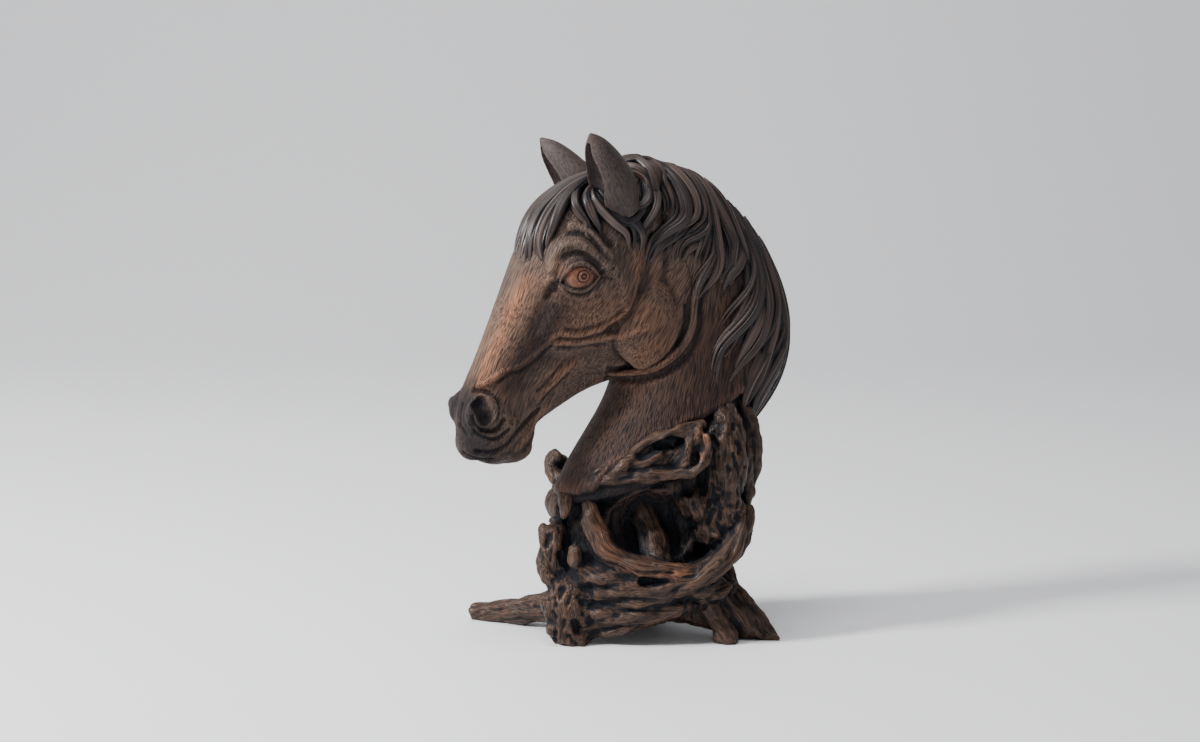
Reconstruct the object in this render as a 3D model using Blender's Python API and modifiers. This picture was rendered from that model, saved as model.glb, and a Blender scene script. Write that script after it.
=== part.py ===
"""A horse's head and neck carved at the top of a piece of driftwood that stands on its own roots.

The whole work is one casting, so it is one solid. The masses are lofted, swept or turned first, then fused,
softened, carved with strokes along the surface, hollowed, thinned to few triangles and cut flat underneath.
"""

import math
import random

import bmesh
import bpy
import numpy as np
from mathutils import Matrix, Vector
from mathutils.bvhtree import BVHTree

# Driving dimensions, in metres and degrees.
SCULPTURE_HEIGHT = 0.400
HEAD_TURN = 24.0
EAR_LENGTH = 0.064
SOLID_TRIANGLES = 9600

# One carving unit is a four-hundredth of the height: a millimetre at the real size. Forms are given in it.
UNIT = SCULPTURE_HEIGHT / 400.0
HEAD_GRAIN = 1.7 * UNIT
WOOD_GRAIN = 1.9 * UNIT
NECK_AXIS_X = 34.6
GROUND_CUT = 2.0 * UNIT
NEAR, FAR = -1, 1

# The head's sections, from the lips to the back of the skull, in its own upright plane. Each row is the
# front line's point, the jaw line's point, and the half widths at HEAD_LEVELS of the way between them.
HEAD_LEVELS = (0.06, 0.32, 0.58, 0.82, 0.96)
HEAD_SECTIONS = (
    ((-158, 152), (-144, 146), (4, 9, 11, 10, 5)),
    ((-171, 166), (-120, 151), (9, 18, 20, 18, 10)),
    ((-175, 186), (-108, 164), (9, 19, 24, 23, 12)),
    ((-169, 205), (-107, 177), (8, 16, 20, 20, 12)),
    ((-159, 226), (-94, 184), (7, 15, 18, 19, 12)),
    ((-145, 259), (-70, 198), (8, 17, 22, 23, 15)),
    ((-132, 291), (-44, 206), (9, 23, 30, 31, 19)),
    ((-118, 323), (-12, 213), (11, 30, 37, 39, 25)),
    ((-100, 347), (8, 236), (12, 33, 38, 37, 23)),
    ((-70, 364), (14, 268), (13, 31, 34, 31, 18)),
    ((-40, 370), (10, 300), (12, 26, 29, 26, 14)),
    ((-22, 362), (-4, 328), (8, 16, 18, 16, 8)),
)

# The neck's sections, from inside the skull down into the wood: throat point, crest point, half widths.
NECK_LEVELS = (0.05, 0.27, 0.52, 0.77, 0.95)
NECK_SECTIONS = (
    ((-20, 280), (-15, 372), (12, 22, 24, 22, 10)),
    ((-27, 240), (21, 367), (14, 29, 31, 26, 12)),
    ((-39, 219), (59, 338), (15, 32, 34, 28, 14)),
    ((-46, 203), (87, 304), (16, 34, 37, 30, 15)),
    ((-54, 186), (104, 264), (17, 36, 40, 33, 16)),
    ((-67, 167), (106, 229), (18, 38, 43, 36, 17)),
    ((-80, 148), (98, 200), (19, 40, 45, 38, 18)),
    ((-90, 130), (86, 180), (19, 41, 47, 40, 19)),
    ((-94, 114), (76, 164), (17, 40, 48, 42, 20)),
    ((-84, 105), (62, 148), (10, 34, 44, 38, 14)),
)

# The driftwood's core, level by level from the ground up: its end under the chest, its end under the mane.
WOOD_LEVELS = (0.06, 0.28, 0.5, 0.72, 0.94)
WOOD_SECTIONS = (
    ((-64, 8), (34, 18), (14, 24, 28, 24, 14)),
    ((-77, 22), (50, 30), (20, 33, 35, 31, 18)),
    ((-83, 48), (54, 48), (20, 36, 39, 35, 18)),
    ((-82, 75), (58, 75), (16, 35, 39, 36, 18)),
    ((-74, 104), (64, 104), (16, 36, 41, 36, 18)),
    ((-30, 140), (82, 140), (20, 36, 40, 34, 18)),
    ((20, 172), (80, 176), (14, 22, 26, 22, 12)),
)

# The driftwood's limbs and roots: name, strands, radii along it, and its path.
WOOD_LIMBS = (
    (
        "lip", 3, (5, 6, 5.5, 5, 5, 4.5),
        ((-24, -44, 128), (-7, -50, 131), (14, -53, 134), (36, -52, 136), (56, -50, 138)),
    ),
    (
        "rising_strand", 1, (5, 4.5, 4.5, 2.5),
        ((54, -50, 138), (63, -52, 145), (66, -50, 159), (65, -48, 173)),
    ),
    (
        "bowl_left", 3, (6, 7, 7, 7, 7, 5),
        ((-18, -42, 120), (-15, -52, 97), (-8, -57, 81), (5, -59, 67), (26, -59, 61), (51, -57, 63)),
    ),
    (
        "bowl_right", 3, (9, 9, 8, 7, 7, 7),
        ((96, -28, 104), (90, -40, 83), (70, -52, 68), (50, -55, 51), (26, -55, 45), (-20, -48, 48)),
    ),
    ("low_limb_1", 2, (8, 8, 7, 4), ((-22, -44, 38), (7, -49, 36), (34, -50, 36), (54, -49, 33))),
    ("low_limb_2", 2, (8, 8, 4), ((-21, -45, 25), (15, -48, 25), (47, -48, 29))),
    ("low_limb_3", 2, (9, 8, 6, 5), ((-24, -38, 14), (3, -43, 19), (34, -43, 27), (61, -42, 36))),
    (
        "column", 3, (15, 15, 15, 14, 11),
        ((82, -28, 178), (84, -30, 156), (84, -30, 133), (84, -28, 113), (88, -26, 93)),
    ),
    (
        "mane_edge", 2, (9, 10, 10, 10, 9, 9),
        ((101, -6, 176), (104, -4, 149), (100, -4, 122), (93, -6, 102), (88, -8, 82), (80, -12, 60)),
    ),
    ("left_slab", 2, (8, 10, 11, 11), ((-52, -26, 92), (-53, -28, 79), (-51, -30, 60), (-46, -32, 44))),
    ("small_knot", 1, (5, 6.5, 5.5), ((-34, -46, 82), (-33, -47, 74), (-35, -46, 66))),
    ("chip", 1, (8, 6, 3), ((-40, -38, 122), (-41, -42, 110), (-42, -41, 101))),
    (
        "left_root", 3, (22, 17, 12, 9.5, 8, 7.5),
        ((-16, 0, 36), (-34, 4, 27), (-54, 12, 20), (-80, 26, 13), (-108, 41, 7.5), (-118, 46, 6.5)),
    ),
    ("right_root", 2, (24, 18, 11, 5), ((54, -8, 36), (80, -14, 26), (102, -21, 13), (121, -27, 4))),
    (
        "right_ridge", 1, (9, 9, 7, 5, 3),
        ((82, -6, 56), (93, -12, 38), (106, -18, 22), (120, -26, 7), (127, -28, 3)),
    ),
    ("inner_root", 1, (9, 7.5, 6.5), ((64, -28, 42), (75, -36, 25), (87, -41, 6))),
    ("back_root", 2, (24, 16, 10, 7), ((14, 12, 34), (22, 34, 18), (30, 56, 8), (34, 66, 6))),
    ("far_stub", 2, (12, 10, 8, 4), ((-42, 24, 112), (-49, 29, 126), (-50, 31, 137), (-49, 31, 144))),
    (
        "far_limb_1", 3, (9, 9, 8, 9, 10),
        ((-60, 20, 90), (-30, 44, 74), (10, 52, 56), (50, 46, 62), (82, 26, 90)),
    ),
    ("far_limb_2", 2, (10, 9, 9, 9), ((-50, 26, 44), (-14, 44, 34), (26, 48, 34), (58, 34, 44))),
    ("far_limb_3", 3, (9, 8, 8, 8), ((-44, 20, 112), (-6, 46, 116), (40, 54, 132), (80, 44, 160))),
)

# Its burls, bark and knobs: name, centre, radii, how many lumps break their surface, and the lumps' size.
WOOD_MASSES = (
    ("burl", (-38, -38, 29), (20, 17, 28), 18, 7),
    ("burl_foot", (-36, -38, 8), (16, 14, 9), 4, 6),
    ("root_foot", (84, -38, 8), (10, 8, 9), 3, 5),
    ("bark_upper", (82, -32, 152), (15, 13, 24), 14, 5),
    ("bark_lower", (80, -30, 112), (14, 13, 18), 10, 5),
    ("inner_bark", (58, -34, 106), (15, 12, 16), 9, 5.5),
    ("neck_socket", (-34, 0, 106), (24, 24, 18), 0, 0),
    ("left_bark", (-47, -20, 74), (12, 16, 22), 8, 6),
    ("edge_knob_1", (107, -2, 146), (6, 8, 9), 3, 4),
    ("edge_knob_2", (101, -6, 120), (7, 8, 8), 3, 4),
    ("far_burl", (40, 44, 96), (20, 14, 18), 12, 6),
    ("far_bark", (86, 24, 130), (14, 16, 26), 10, 6),
)

# Strokes on the near side where coat and wood meet: an (x, z) path, how wide and how high or deep.
WOOD_STROKES = (
    # The coat's ragged hem, and the hollows under it.
    (((-50, 124), (-38, 125), (-22, 127), (-10, 140), (15, 153), (40, 170), (62, 178)), 6, 2.0),
    (((-46, 113), (-34, 116), (-18, 118), (-6, 131), (18, 143), (44, 160), (60, 168)), 6, -3.5),
    (((27, 158), (37, 161), (48, 163)), 8, -7.0),
    # The hole between the mane's last locks and the wood.
    (((97, 196), (94, 183)), 10, -9.0),
    # Knot holes in the burl.
    (((-34, 22), (-31, 14)), 6, -6.0),
    (((-46, 42), (-43, 49)), 5, -5.0),
    (((-30, 42), (-27, 36)), 5, -4.0),
    (((-46, 20), (-44, 12)), 4, -4.0),
)

# Guide locks of the mane, from the ear back along the crest, each from the crest down to its tip, (x, z).
MANE_GUIDES = (
    ((-38, 379), (-25, 377), (-18, 366), (-20, 351), (-27, 340), (-33, 327), (-37, 309)),
    ((-22, 380), (-5, 370), (3, 352), (4, 333), (-8, 321), (-21, 309), (-30, 290)),
    ((-8, 379), (8, 367), (18, 350), (22, 333), (15, 322), (5, 312), (2, 296)),
    ((8, 374), (23, 359), (31, 340), (35, 315), (31, 296), (17, 280), (9, 262)),
    ((24, 364), (36, 349), (45, 331), (53, 314), (47, 302), (40, 291), (41, 277)),
    ((40, 347), (53, 333), (63, 312), (67, 287), (62, 262), (44, 240), (30, 222), (25, 196)),
    ((56, 335), (67, 315), (75, 291), (77, 265), (66, 241), (51, 220), (44, 200)),
    ((72, 318), (80, 296), (87, 267), (86, 243), (73, 220), (58, 198), (51, 170)),
    ((85, 300), (93, 275), (99, 246), (95, 224), (81, 203), (67, 183), (58, 155)),
    ((93, 284), (101, 258), (105, 236), (102, 214), (92, 194), (80, 172), (72, 146)),
)
MANE_LOCKS = 19
LOCK_RADII = (2.8, 4.2, 4.6, 4.2, 3.2, 1.2)

# The long lock that hangs in front of the neck and turns in under the jaw.
THROAT_LOCK = ((34, 298), (22, 281), (11, 264), (6, 244), (-7, 225), (-25, 215), (-48, 215))

# Locks of the fringe, from the poll down over the forehead, with y where they cross the middle.
FRINGE_LOCKS = (
    ((-66, 6, 372), (-84, 12, 366), (-101, 15, 354), (-115, 14, 338), (-124, 11, 322), (-127, 8, 308)),
    ((-68, 1, 372), (-88, 4, 364), (-106, 5, 350), (-119, 3, 333), (-126, 1, 318), (-126, 0, 304)),
    ((-70, -4, 370), (-90, -4, 361), (-107, -6, 346), (-118, -7, 331), (-123, -7, 317), (-118, -8, 298)),
    ((-76, -7, 366), (-92, -11, 355), (-106, -15, 341), (-115, -17, 328), (-119, -17, 315), (-116, -17, 303)),
    ((-79, -9, 361), (-92, -16, 350), (-103, -22, 339), (-111, -25, 329), (-117, -24, 319), (-118, -22, 312)),
    ((-78, -12, 357), (-87, -21, 346), (-98, -28, 334), (-109, -31, 323), (-115, -30, 316)),
)
EAR_LOCKS = (
    ((-64, 368), (-80, 362), (-88, 351), (-86, 339), (-80, 328), (-78, 318)),
    ((-66, 364), (-78, 356), (-83, 344), (-78, 333), (-70, 326), (-66, 318)),
    ((-70, 358), (-72, 345), (-64, 334), (-50, 326), (-42, 315), (-46, 300)),
)


def spline(points, count):
    """Evenly stepped points on the smooth curve through the given ones."""
    given = np.array(points, float)
    padded = np.vstack([2 * given[0] - given[1], given, 2 * given[-1] - given[-2]])
    steps = np.linspace(0, len(given) - 1, count)
    first = np.minimum(steps.astype(int), len(given) - 2)
    t = (steps - first)[:, None]
    p0, p1, p2, p3 = (padded[first + k] for k in range(4))
    return 0.5 * (
        2 * p1 + (p2 - p0) * t + (2 * p0 - 5 * p1 + 4 * p2 - p3) * t**2 + (3 * p1 - p0 - 3 * p2 + p3) * t**3
    )


def new_object(name, mesh):
    """Links a mesh to the scene as an object."""
    obj = bpy.data.objects.new(name, mesh)
    bpy.context.scene.collection.objects.link(obj)
    return obj


def evaluated(obj):
    """Replaces an object by the plain mesh that its modifiers or curve make, its caps welded on."""
    bpy.context.view_layer.update()
    mesh = bpy.data.meshes.new_from_object(obj.evaluated_get(bpy.context.evaluated_depsgraph_get()))
    name, place = obj.name, obj.matrix_world.copy()
    bpy.data.objects.remove(obj)
    shape = bmesh.new()
    shape.from_mesh(mesh)
    bmesh.ops.remove_doubles(shape, verts=shape.verts, dist=1e-6)
    bmesh.ops.recalc_face_normals(shape, faces=shape.faces)
    shape.to_mesh(mesh)
    shape.free()
    fresh = new_object(name, mesh)
    fresh.matrix_world = place
    return fresh


def loft(name, sections, levels, count):
    """A closed body through upright sections that are alike on both sides, smoothed from a coarse cage."""
    front = spline([s[0] for s in sections], count)
    back = spline([s[1] for s in sections], count)
    widths = spline([s[2] for s in sections], count)
    shape = bmesh.new()
    rings = []
    for a, b, half in zip(front, back, widths):
        side = [(b + (a - b) * level, w) for level, w in zip(levels, half)]
        ring = [(b, 0.0)] + side + [(a, 0.0)] + [(p, -w) for p, w in reversed(side)]
        rings.append([shape.verts.new((p[0] * UNIT, w * UNIT, p[1] * UNIT)) for p, w in ring])
    for one, two in zip(rings, rings[1:]):
        for k in range(len(one)):
            n = (k + 1) % len(one)
            shape.faces.new((one[k], one[n], two[n], two[k]))
    shape.faces.new(rings[0])
    shape.faces.new(rings[-1])
    bmesh.ops.recalc_face_normals(shape, faces=shape.faces)
    mesh = bpy.data.meshes.new(name)
    shape.to_mesh(mesh)
    shape.free()
    obj = new_object(name, mesh)
    smooth = obj.modifiers.new("smooth", "SUBSURF")
    smooth.levels = smooth.render_levels = 2
    return evaluated(obj)


def rod(name, points, radii, sides=2):
    """A round rod along a smooth path, its radius given at some places along it. All in carving units."""
    path = spline(points, max(6 * len(points), 12))
    thick = spline([(r, 0) for r in radii], len(path))[:, 0]
    curve = bpy.data.curves.new(name, "CURVE")
    curve.dimensions = "3D"
    curve.bevel_depth = UNIT
    curve.bevel_resolution = sides
    curve.use_fill_caps = True
    line = curve.splines.new("POLY")
    line.points.add(len(path) - 1)
    for point, place, r in zip(line.points, path, thick):
        point.co = (*(place * UNIT), 1.0)
        point.radius = max(r, 0.4)
    return evaluated(new_object(name, curve))


def ball(name, centre, radii, turn=(0, 0, 0)):
    """An ellipsoid, turned about its centre by the given degrees."""
    shape = bmesh.new()
    bmesh.ops.create_icosphere(shape, subdivisions=3, radius=1.0)
    mesh = bpy.data.meshes.new(name)
    shape.to_mesh(mesh)
    shape.free()
    rotation = Matrix.Identity(4)
    for angle, axis in zip(turn, "XYZ"):
        rotation = Matrix.Rotation(math.radians(angle), 4, axis) @ rotation
    size = Matrix.Diagonal((*(Vector(radii) * UNIT), 1.0))
    mesh.transform(Matrix.Translation(Vector(centre) * UNIT) @ rotation @ size)
    return new_object(name, mesh)


def both_sides(make, name, *places, **options):
    """Makes a piece on the near side, where y is negative, and its mirror image on the far side."""
    near = make(name, *places, **options)
    mesh = near.data.copy()
    mesh.transform(Matrix.Diagonal((1, -1, 1, 1)))
    mesh.flip_normals()
    return [near, new_object(name + "_far", mesh)]


def fused(name, objects, grain, soften):
    """One skin around all the objects, with its creases softened."""
    with bpy.context.temp_override(
        active_object=objects[0], selected_editable_objects=objects, selected_objects=objects
    ):
        bpy.ops.object.join()
    obj = objects[0]
    obj.name = name
    skin = obj.modifiers.new("skin", "REMESH")
    skin.mode = "VOXEL"
    skin.voxel_size = grain
    soft = obj.modifiers.new("soft", "SMOOTH")
    soft.factor = 0.5
    soft.iterations = soften
    return evaluated(obj)


def pushed(obj, path, radius, depth):
    """Raises the skin of an object along a path, or sinks it where depth is negative."""
    mesh = obj.data
    count = len(mesh.vertices)
    spots, normals = np.empty(count * 3), np.empty(count * 3)
    mesh.vertices.foreach_get("co", spots)
    mesh.vertex_normals.foreach_get("vector", normals)
    spots, normals = spots.reshape(-1, 3), normals.reshape(-1, 3)
    line = np.array(path, float) * UNIT
    near = np.full(count, np.inf)
    for a, b in zip(line, line[1:]):
        along = np.clip((spots - a) @ (b - a) / max((b - a) @ (b - a), 1e-12), 0, 1)
        near = np.minimum(near, np.linalg.norm(spots - a - along[:, None] * (b - a), axis=1))
    fall = np.clip(1 - near / (radius * UNIT), 0, 1)
    fall = fall * fall * (3 - 2 * fall)
    spots += normals * (fall * depth * UNIT)[:, None]
    mesh.vertices.foreach_set("co", spots.ravel())
    mesh.update()


def skin_of(obj):
    """The surface of an object, for laying paths on."""
    shape = bmesh.new()
    shape.from_mesh(obj.data)
    tree = BVHTree.FromBMesh(shape)
    shape.free()
    return tree


def draped(path, skin, side, lift=0.0, count=24):
    """A smooth path of (x, z) points laid on one side of a skin, or nearest the given (x, y, z) points."""
    line = spline(path, count)
    laid = []
    for p in line:
        flat = len(p) == 2
        start = Vector((p[0], side * 120 if flat else p[1], p[-1])) * UNIT
        spot = normal = None
        if flat:
            spot, normal, _, _ = skin.ray_cast(start, Vector((0, -side, 0)))
            start.y = side * 6 * UNIT
        if spot is None:
            spot, normal, _, _ = skin.find_nearest(start)
        laid.append((spot + normal * lift * UNIT) / UNIT)
    laid = np.array([list(p) for p in laid])
    for _ in range(2):
        laid[1:-1] = (laid[:-2] + 2 * laid[1:-1] + laid[2:]) / 4
    return laid


def between(guides, share):
    """The path that lies this share of the way across a fan of guide paths."""
    place = share * (len(guides) - 1)
    first = min(int(place), len(guides) - 2)
    one, two = (spline(guides[first + k], 12) for k in (0, 1))
    return one + (two - one) * (place - first)


def head_mass():
    """Skull, jaw and muzzle, with the bulges under the skin."""
    parts = [loft("head", HEAD_SECTIONS, HEAD_LEVELS, 16)]
    parts += both_sides(ball, "eye_socket", (-89, -30, 295), (20, 11, 17))
    parts += both_sides(ball, "jowl", (-24, -24, 254), (32, 12, 38), turn=(0, -18, 0))
    parts += both_sides(ball, "nostril_wing", (-159, -17, 191), (13, 9, 15), turn=(0, 20, 0))
    parts.append(ball("poll", (-25, 0, 361), (22, 17, 14)))
    parts.append(ball("upper_lip", (-160, 0, 167), (13, 15, 15)))
    parts.append(ball("chin", (-130, 0, 160), (19, 13, 12.5)))
    return parts


def neck_mass():
    """The neck, from inside the skull down into the wood."""
    return [loft("neck", NECK_SECTIONS, NECK_LEVELS, 16)]


def ear(side):
    """One ear, made upright with its hollow towards -Y, then set on the skull leaning out."""
    height = EAR_LENGTH / UNIT + (3 if side == NEAR else 1)
    rise = [(1, -0.1), (1, 0.25), (0, 0.55), (-1.5, 0.82), (-3, 1)]
    axis = [(0, y, share * height) for y, share in rise]
    piece = rod("ear", axis, (16, 20, 16.5, 10, 1.6), sides=6)
    piece.data.transform(Matrix.Diagonal((1, 0.86, 1, 1)))
    hollow = [(0, -17, 0.12 * height), (0, -13, 0.45 * height), (0, -8, 0.88 * height)]
    scoop = rod("scoop", hollow, (5, 11, 2.6), sides=6)
    cut_away(piece, [scoop])
    up = Vector((-33, 24 * side, 58)).normalized()
    facing = Vector((-0.98, side * 0.18, 0))
    facing = (facing - up * facing.dot(up)).normalized()
    across = up.cross(-facing)
    turn = Matrix((across, -facing, up)).transposed().to_4x4()
    root = Vector((-50, side * 27, 345 - 3 * side)) * UNIT
    piece.data.transform(Matrix.Translation(root) @ turn)
    return piece


def cut_away(obj, cutters):
    """Takes closed cutters out of an object with exact Booleans, and removes the cutters."""
    for cutter in cutters:
        cut = obj.modifiers.new("cut", "BOOLEAN")
        cut.operation = "DIFFERENCE"
        cut.solver = "EXACT"
        cut.object = cutter
    bpy.context.view_layer.update()
    mesh = bpy.data.meshes.new_from_object(obj.evaluated_get(bpy.context.evaluated_depsgraph_get()))
    obj.modifiers.clear()
    obj.data = mesh
    for cutter in cutters:
        bpy.data.objects.remove(cutter)


def eye(skin, side):
    """Eyeball, both lids and the fold over them."""
    ball_piece = ball("eyeball", (-87, side * 33, 294), (12, 9, 9.5))
    lids = (
        (((-102, 292), (-97, 301), (-88, 305), (-79, 302), (-71, 294)), (1.2, 1.8, 2.1, 1.8, 1.1)),
        (((-102, 292), (-96, 285), (-86, 282), (-77, 285), (-71, 294)), (1.2, 1.8, 2.0, 1.8, 1.1)),
    )
    pieces = [ball_piece]
    for path, radii in lids:
        pieces.append(rod("eyelid", draped(path, skin, side, 0.4, 14), radii))
    return pieces


def mane(skin, side):
    """Locks fanned along the crest on one side, laid on the neck, and the lock under the jaw."""
    dice = random.Random(7)
    pieces = []
    for k in range(MANE_LOCKS):
        share = (k + dice.uniform(-0.25, 0.25)) / (MANE_LOCKS - 1)
        path = between(MANE_GUIDES, min(max(share, 0), 1))
        size = dice.uniform(0.8, 1.15)
        lift = 1.2 + 2.4 * (k % 2)
        laid = draped(path, skin, side, lift)
        pieces.append(rod("lock", laid, [r * size for r in LOCK_RADII]))
    pieces.append(rod("throat_lock", draped(THROAT_LOCK, skin, side, 0.6), (3.4, 3.8, 3.6, 3.2, 2.2)))
    for path in EAR_LOCKS:
        pieces.append(rod("ear_lock", draped(path, skin, side, 0.6), (2.2, 3.2, 3.2, 2.6, 1.2)))
    return pieces


def fringe(skin):
    """Locks that fall from the poll over the forehead."""
    radii = (2.6, 3.8, 4.2, 3.8, 2.8, 1.2)
    lifts = (3.0, 4.2, 3.0, 4.2, 2.6, 1.6)
    return [
        rod("fringe_lock", draped(path, skin, NEAR, lift), radii) for path, lift in zip(FRINGE_LOCKS, lifts)
    ]


def carve_face(body, skin):
    """Strokes that give the head its bones, folds and features, alike on both sides."""
    strokes = (
        # The bony ridges of the cheek, and the vein from them to the nostril.
        (((-98, 249), (-85, 247), (-69, 250), (-55, 256), (-44, 266), (-37, 284)), 6, 1.6),
        (((-99, 242), (-71, 243), (-57, 245), (-44, 247), (-30, 252)), 6, 1.4),
        (((-156, 214), (-146, 218), (-130, 225), (-115, 235), (-101, 248)), 5, 1.6),
        # The groove between them, and the hollow between cheek bone and mane.
        (((-98, 246), (-83, 244), (-69, 247), (-58, 250)), 4, -1.2),
        (((-24, 318), (-26, 300), (-28, 285), (-34, 272), (-44, 258)), 8, -4.0),
        # The jowl's edge, and the groove that parts it from the neck.
        (((-54, 220), (-30, 219), (-11, 231), (-1, 250), (2, 270), (0, 288)), 7, 1.6),
        (((-48, 208), (-26, 209), (-2, 220), (11, 244), (15, 268)), 6, -3.0),
        # The brow over the eye, the hollow and the fold over it, and the hollow of the temple.
        (((-107, 294), (-104, 309), (-98, 317), (-91, 320), (-77, 312), (-63, 301)), 6, 2.6),
        (((-104, 299), (-98, 308), (-90, 311), (-80, 308), (-71, 301)), 4.5, -2.2),
        (((-91, 326), (-84, 325), (-77, 322), (-71, 314), (-65, 306)), 4.5, -3.0),
        (((-76, 332), (-68, 324), (-60, 314)), 9, -4.0),
        # The tear duct, and the hollow of the face below the eye.
        (((-107, 289), (-112, 280), (-117, 266)), 8, -2.6),
        (((-138, 240), (-120, 246), (-106, 258)), 10, -2.0),
        # The lips, the wrinkles under the nostril and the chin's groove.
        (((-160, 160), (-150, 160), (-139, 166), (-130, 174), (-120, 181)), 4.5, -2.8),
        (((-169, 190), (-166, 182), (-162, 178), (-154, 176), (-147, 179)), 4, -2.2),
        (((-176, 196), (-172, 178), (-165, 172)), 5, -2.0),
        (((-112, 198), (-100, 208), (-87, 222)), 6, -1.4),
    )
    for side in (NEAR, FAR):
        for path, radius, depth in strokes:
            pushed(body, draped(path, skin, side), radius, depth)
        rim = [(-160, 205), (-151, 200), (-150, 191), (-157, 184), (-166, 186), (-169, 196), (-160, 205)]
        pushed(body, draped(rim, skin, side), 5, 2.2)
        pushed(body, draped([(-161, 199), (-158, 191)], skin, side, count=4), 8.5, -8.0)


def turned(obj):
    """Turns an object made in the head's own plane towards the viewer, about the neck's upright axis."""
    axis = Matrix.Translation((NECK_AXIS_X * UNIT, 0, 0))
    obj.data.transform(axis @ Matrix.Rotation(math.radians(HEAD_TURN), 4, "Z"))
    return obj


def head_and_neck():
    """Head, ears, eyes, neck and hair."""
    body = fused("head_and_neck", head_mass() + neck_mass(), HEAD_GRAIN, 8)
    skin = skin_of(body)
    carve_face(body, skin)
    pieces = [body] + fringe(skin)
    for side in (NEAR, FAR):
        pieces += eye(skin, side) + mane(skin, side) + [ear(side)]
    return turned(fused("head_and_neck", pieces, HEAD_GRAIN, 1))


def wood_core():
    """The trunk under the neck, with the deep hollows that the water has worn in it."""
    core = turned(loft("driftwood", WOOD_SECTIONS, WOOD_LEVELS, 12))
    hollows = [
        ball("front_hollow", (32, -52, 96), (42, 36, 30), turn=(0, 8, 0)),
        ball("left_hollow", (-34, -52, 90), (15, 22, 22)),
        ball("back_hollow", (10, 56, 84), (34, 24, 26), turn=(0, -12, 0)),
    ]
    cut_away(core, hollows)
    return core


def twisted(name, strands, radii, points):
    """A limb of strands that wind slowly about its path, or one round rod for a single strand."""
    if strands == 1:
        return [rod(name, points, radii, sides=3)]
    path = spline(points, 4 * len(points))
    thick = spline([(r, 0) for r in radii], len(path))[:, 0]
    along = np.gradient(path, axis=0)
    across = np.cross(along, (0, 1, 0))
    across /= np.linalg.norm(across, axis=1)[:, None]
    outward = np.cross(across, along)
    outward /= np.linalg.norm(outward, axis=1)[:, None]
    pieces = []
    for k in range(strands):
        angle = 2 * math.pi * (k / strands + np.linspace(0.1, 0.8, len(path)))
        wander = across * np.cos(angle)[:, None] + outward * np.sin(angle)[:, None]
        strand = path + wander * (0.55 * thick)[:, None]
        pieces.append(rod(name, strand[::2], 0.62 * thick[::2], sides=3))
    return pieces


def lumps(name, dice, centre, radii, count, size):
    """Rough swellings scattered over an ellipsoid."""
    pieces = []
    for _ in range(count):
        around, up = dice.uniform(0, 2 * math.pi), dice.uniform(-0.9, 0.9)
        out = math.sqrt(1 - up * up)
        way = (out * math.cos(around), out * math.sin(around), up)
        spot = [c + r * w for c, r, w in zip(centre, radii, way)]
        pieces.append(ball(name, spot, [size * dice.uniform(0.7, 1.2) for _ in range(3)]))
    return pieces


def wood():
    """The core with its twisted limbs, roots, burl, bark and knobs."""
    dice = random.Random(11)
    pieces = [wood_core()]
    for limb in WOOD_LIMBS:
        pieces += twisted(*limb)
    for name, centre, radii, count, size in WOOD_MASSES:
        pieces.append(ball(name, centre, radii))
        pieces += lumps(name + "_lump", dice, centre, [r * 0.85 for r in radii], count, size)
    return pieces


def thinned(obj, triangles):
    """Fewer, larger triangles that keep the carving."""
    mesh = obj.data
    now = sum(len(p.vertices) - 2 for p in mesh.polygons)
    thin = obj.modifiers.new("thin", "DECIMATE")
    thin.ratio = triangles / now
    thin.use_collapse_triangulate = True
    return evaluated(obj)


def cut_flat(obj, height):
    """Cuts an object level with the ground and closes the cuts, so that it stands on flat feet."""
    shape = bmesh.new()
    shape.from_mesh(obj.data)
    everything = shape.verts[:] + shape.edges[:] + shape.faces[:]
    cut = bmesh.ops.bisect_plane(
        shape, geom=everything, plane_co=(0, 0, height), plane_no=(0, 0, -1), clear_outer=True
    )
    rim = [g for g in cut["geom_cut"] if isinstance(g, bmesh.types.BMEdge)]
    bmesh.ops.holes_fill(shape, edges=rim, sides=0)
    bmesh.ops.triangulate(shape, faces=shape.faces)
    bmesh.ops.recalc_face_normals(shape, faces=shape.faces)
    shape.to_mesh(obj.data)
    shape.free()


def stand_on_origin(obj):
    """Moves the work so that the middle of its box's underside is the origin."""
    corners = np.array([v.co for v in obj.data.vertices])
    low, high = corners.min(0), corners.max(0)
    obj.data.transform(Matrix.Translation((-(low[0] + high[0]) / 2, -(low[1] + high[1]) / 2, -low[2])))


def collect(obj):
    """Moves the work into a collection of its own."""
    group = bpy.data.collections.new(obj.name)
    bpy.context.scene.collection.children.link(group)
    group.objects.link(obj)
    bpy.context.scene.collection.objects.unlink(obj)


def colour(obj):
    """Stained, waxed wood."""
    stain = bpy.data.materials.new("stained_driftwood")
    stain.use_nodes = True
    shader = stain.node_tree.nodes["Principled BSDF"]
    shader.inputs["Base Color"].default_value = (0.085, 0.047, 0.031, 1)
    shader.inputs["Roughness"].default_value = 0.5
    shader.inputs["Metallic"].default_value = 0.0
    obj.data.materials.append(stain)


def main():
    for obj in list(bpy.data.objects):
        bpy.data.objects.remove(obj)
    work = fused("horse_head_sculpture", [head_and_neck()] + wood(), WOOD_GRAIN, 2)
    skin = skin_of(work)
    for path, radius, depth in WOOD_STROKES:
        pushed(work, draped(path, skin, NEAR), radius, depth)
    work = thinned(work, SOLID_TRIANGLES)
    cut_flat(work, GROUND_CUT)
    stand_on_origin(work)
    colour(work)
    collect(work)


main()
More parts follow.
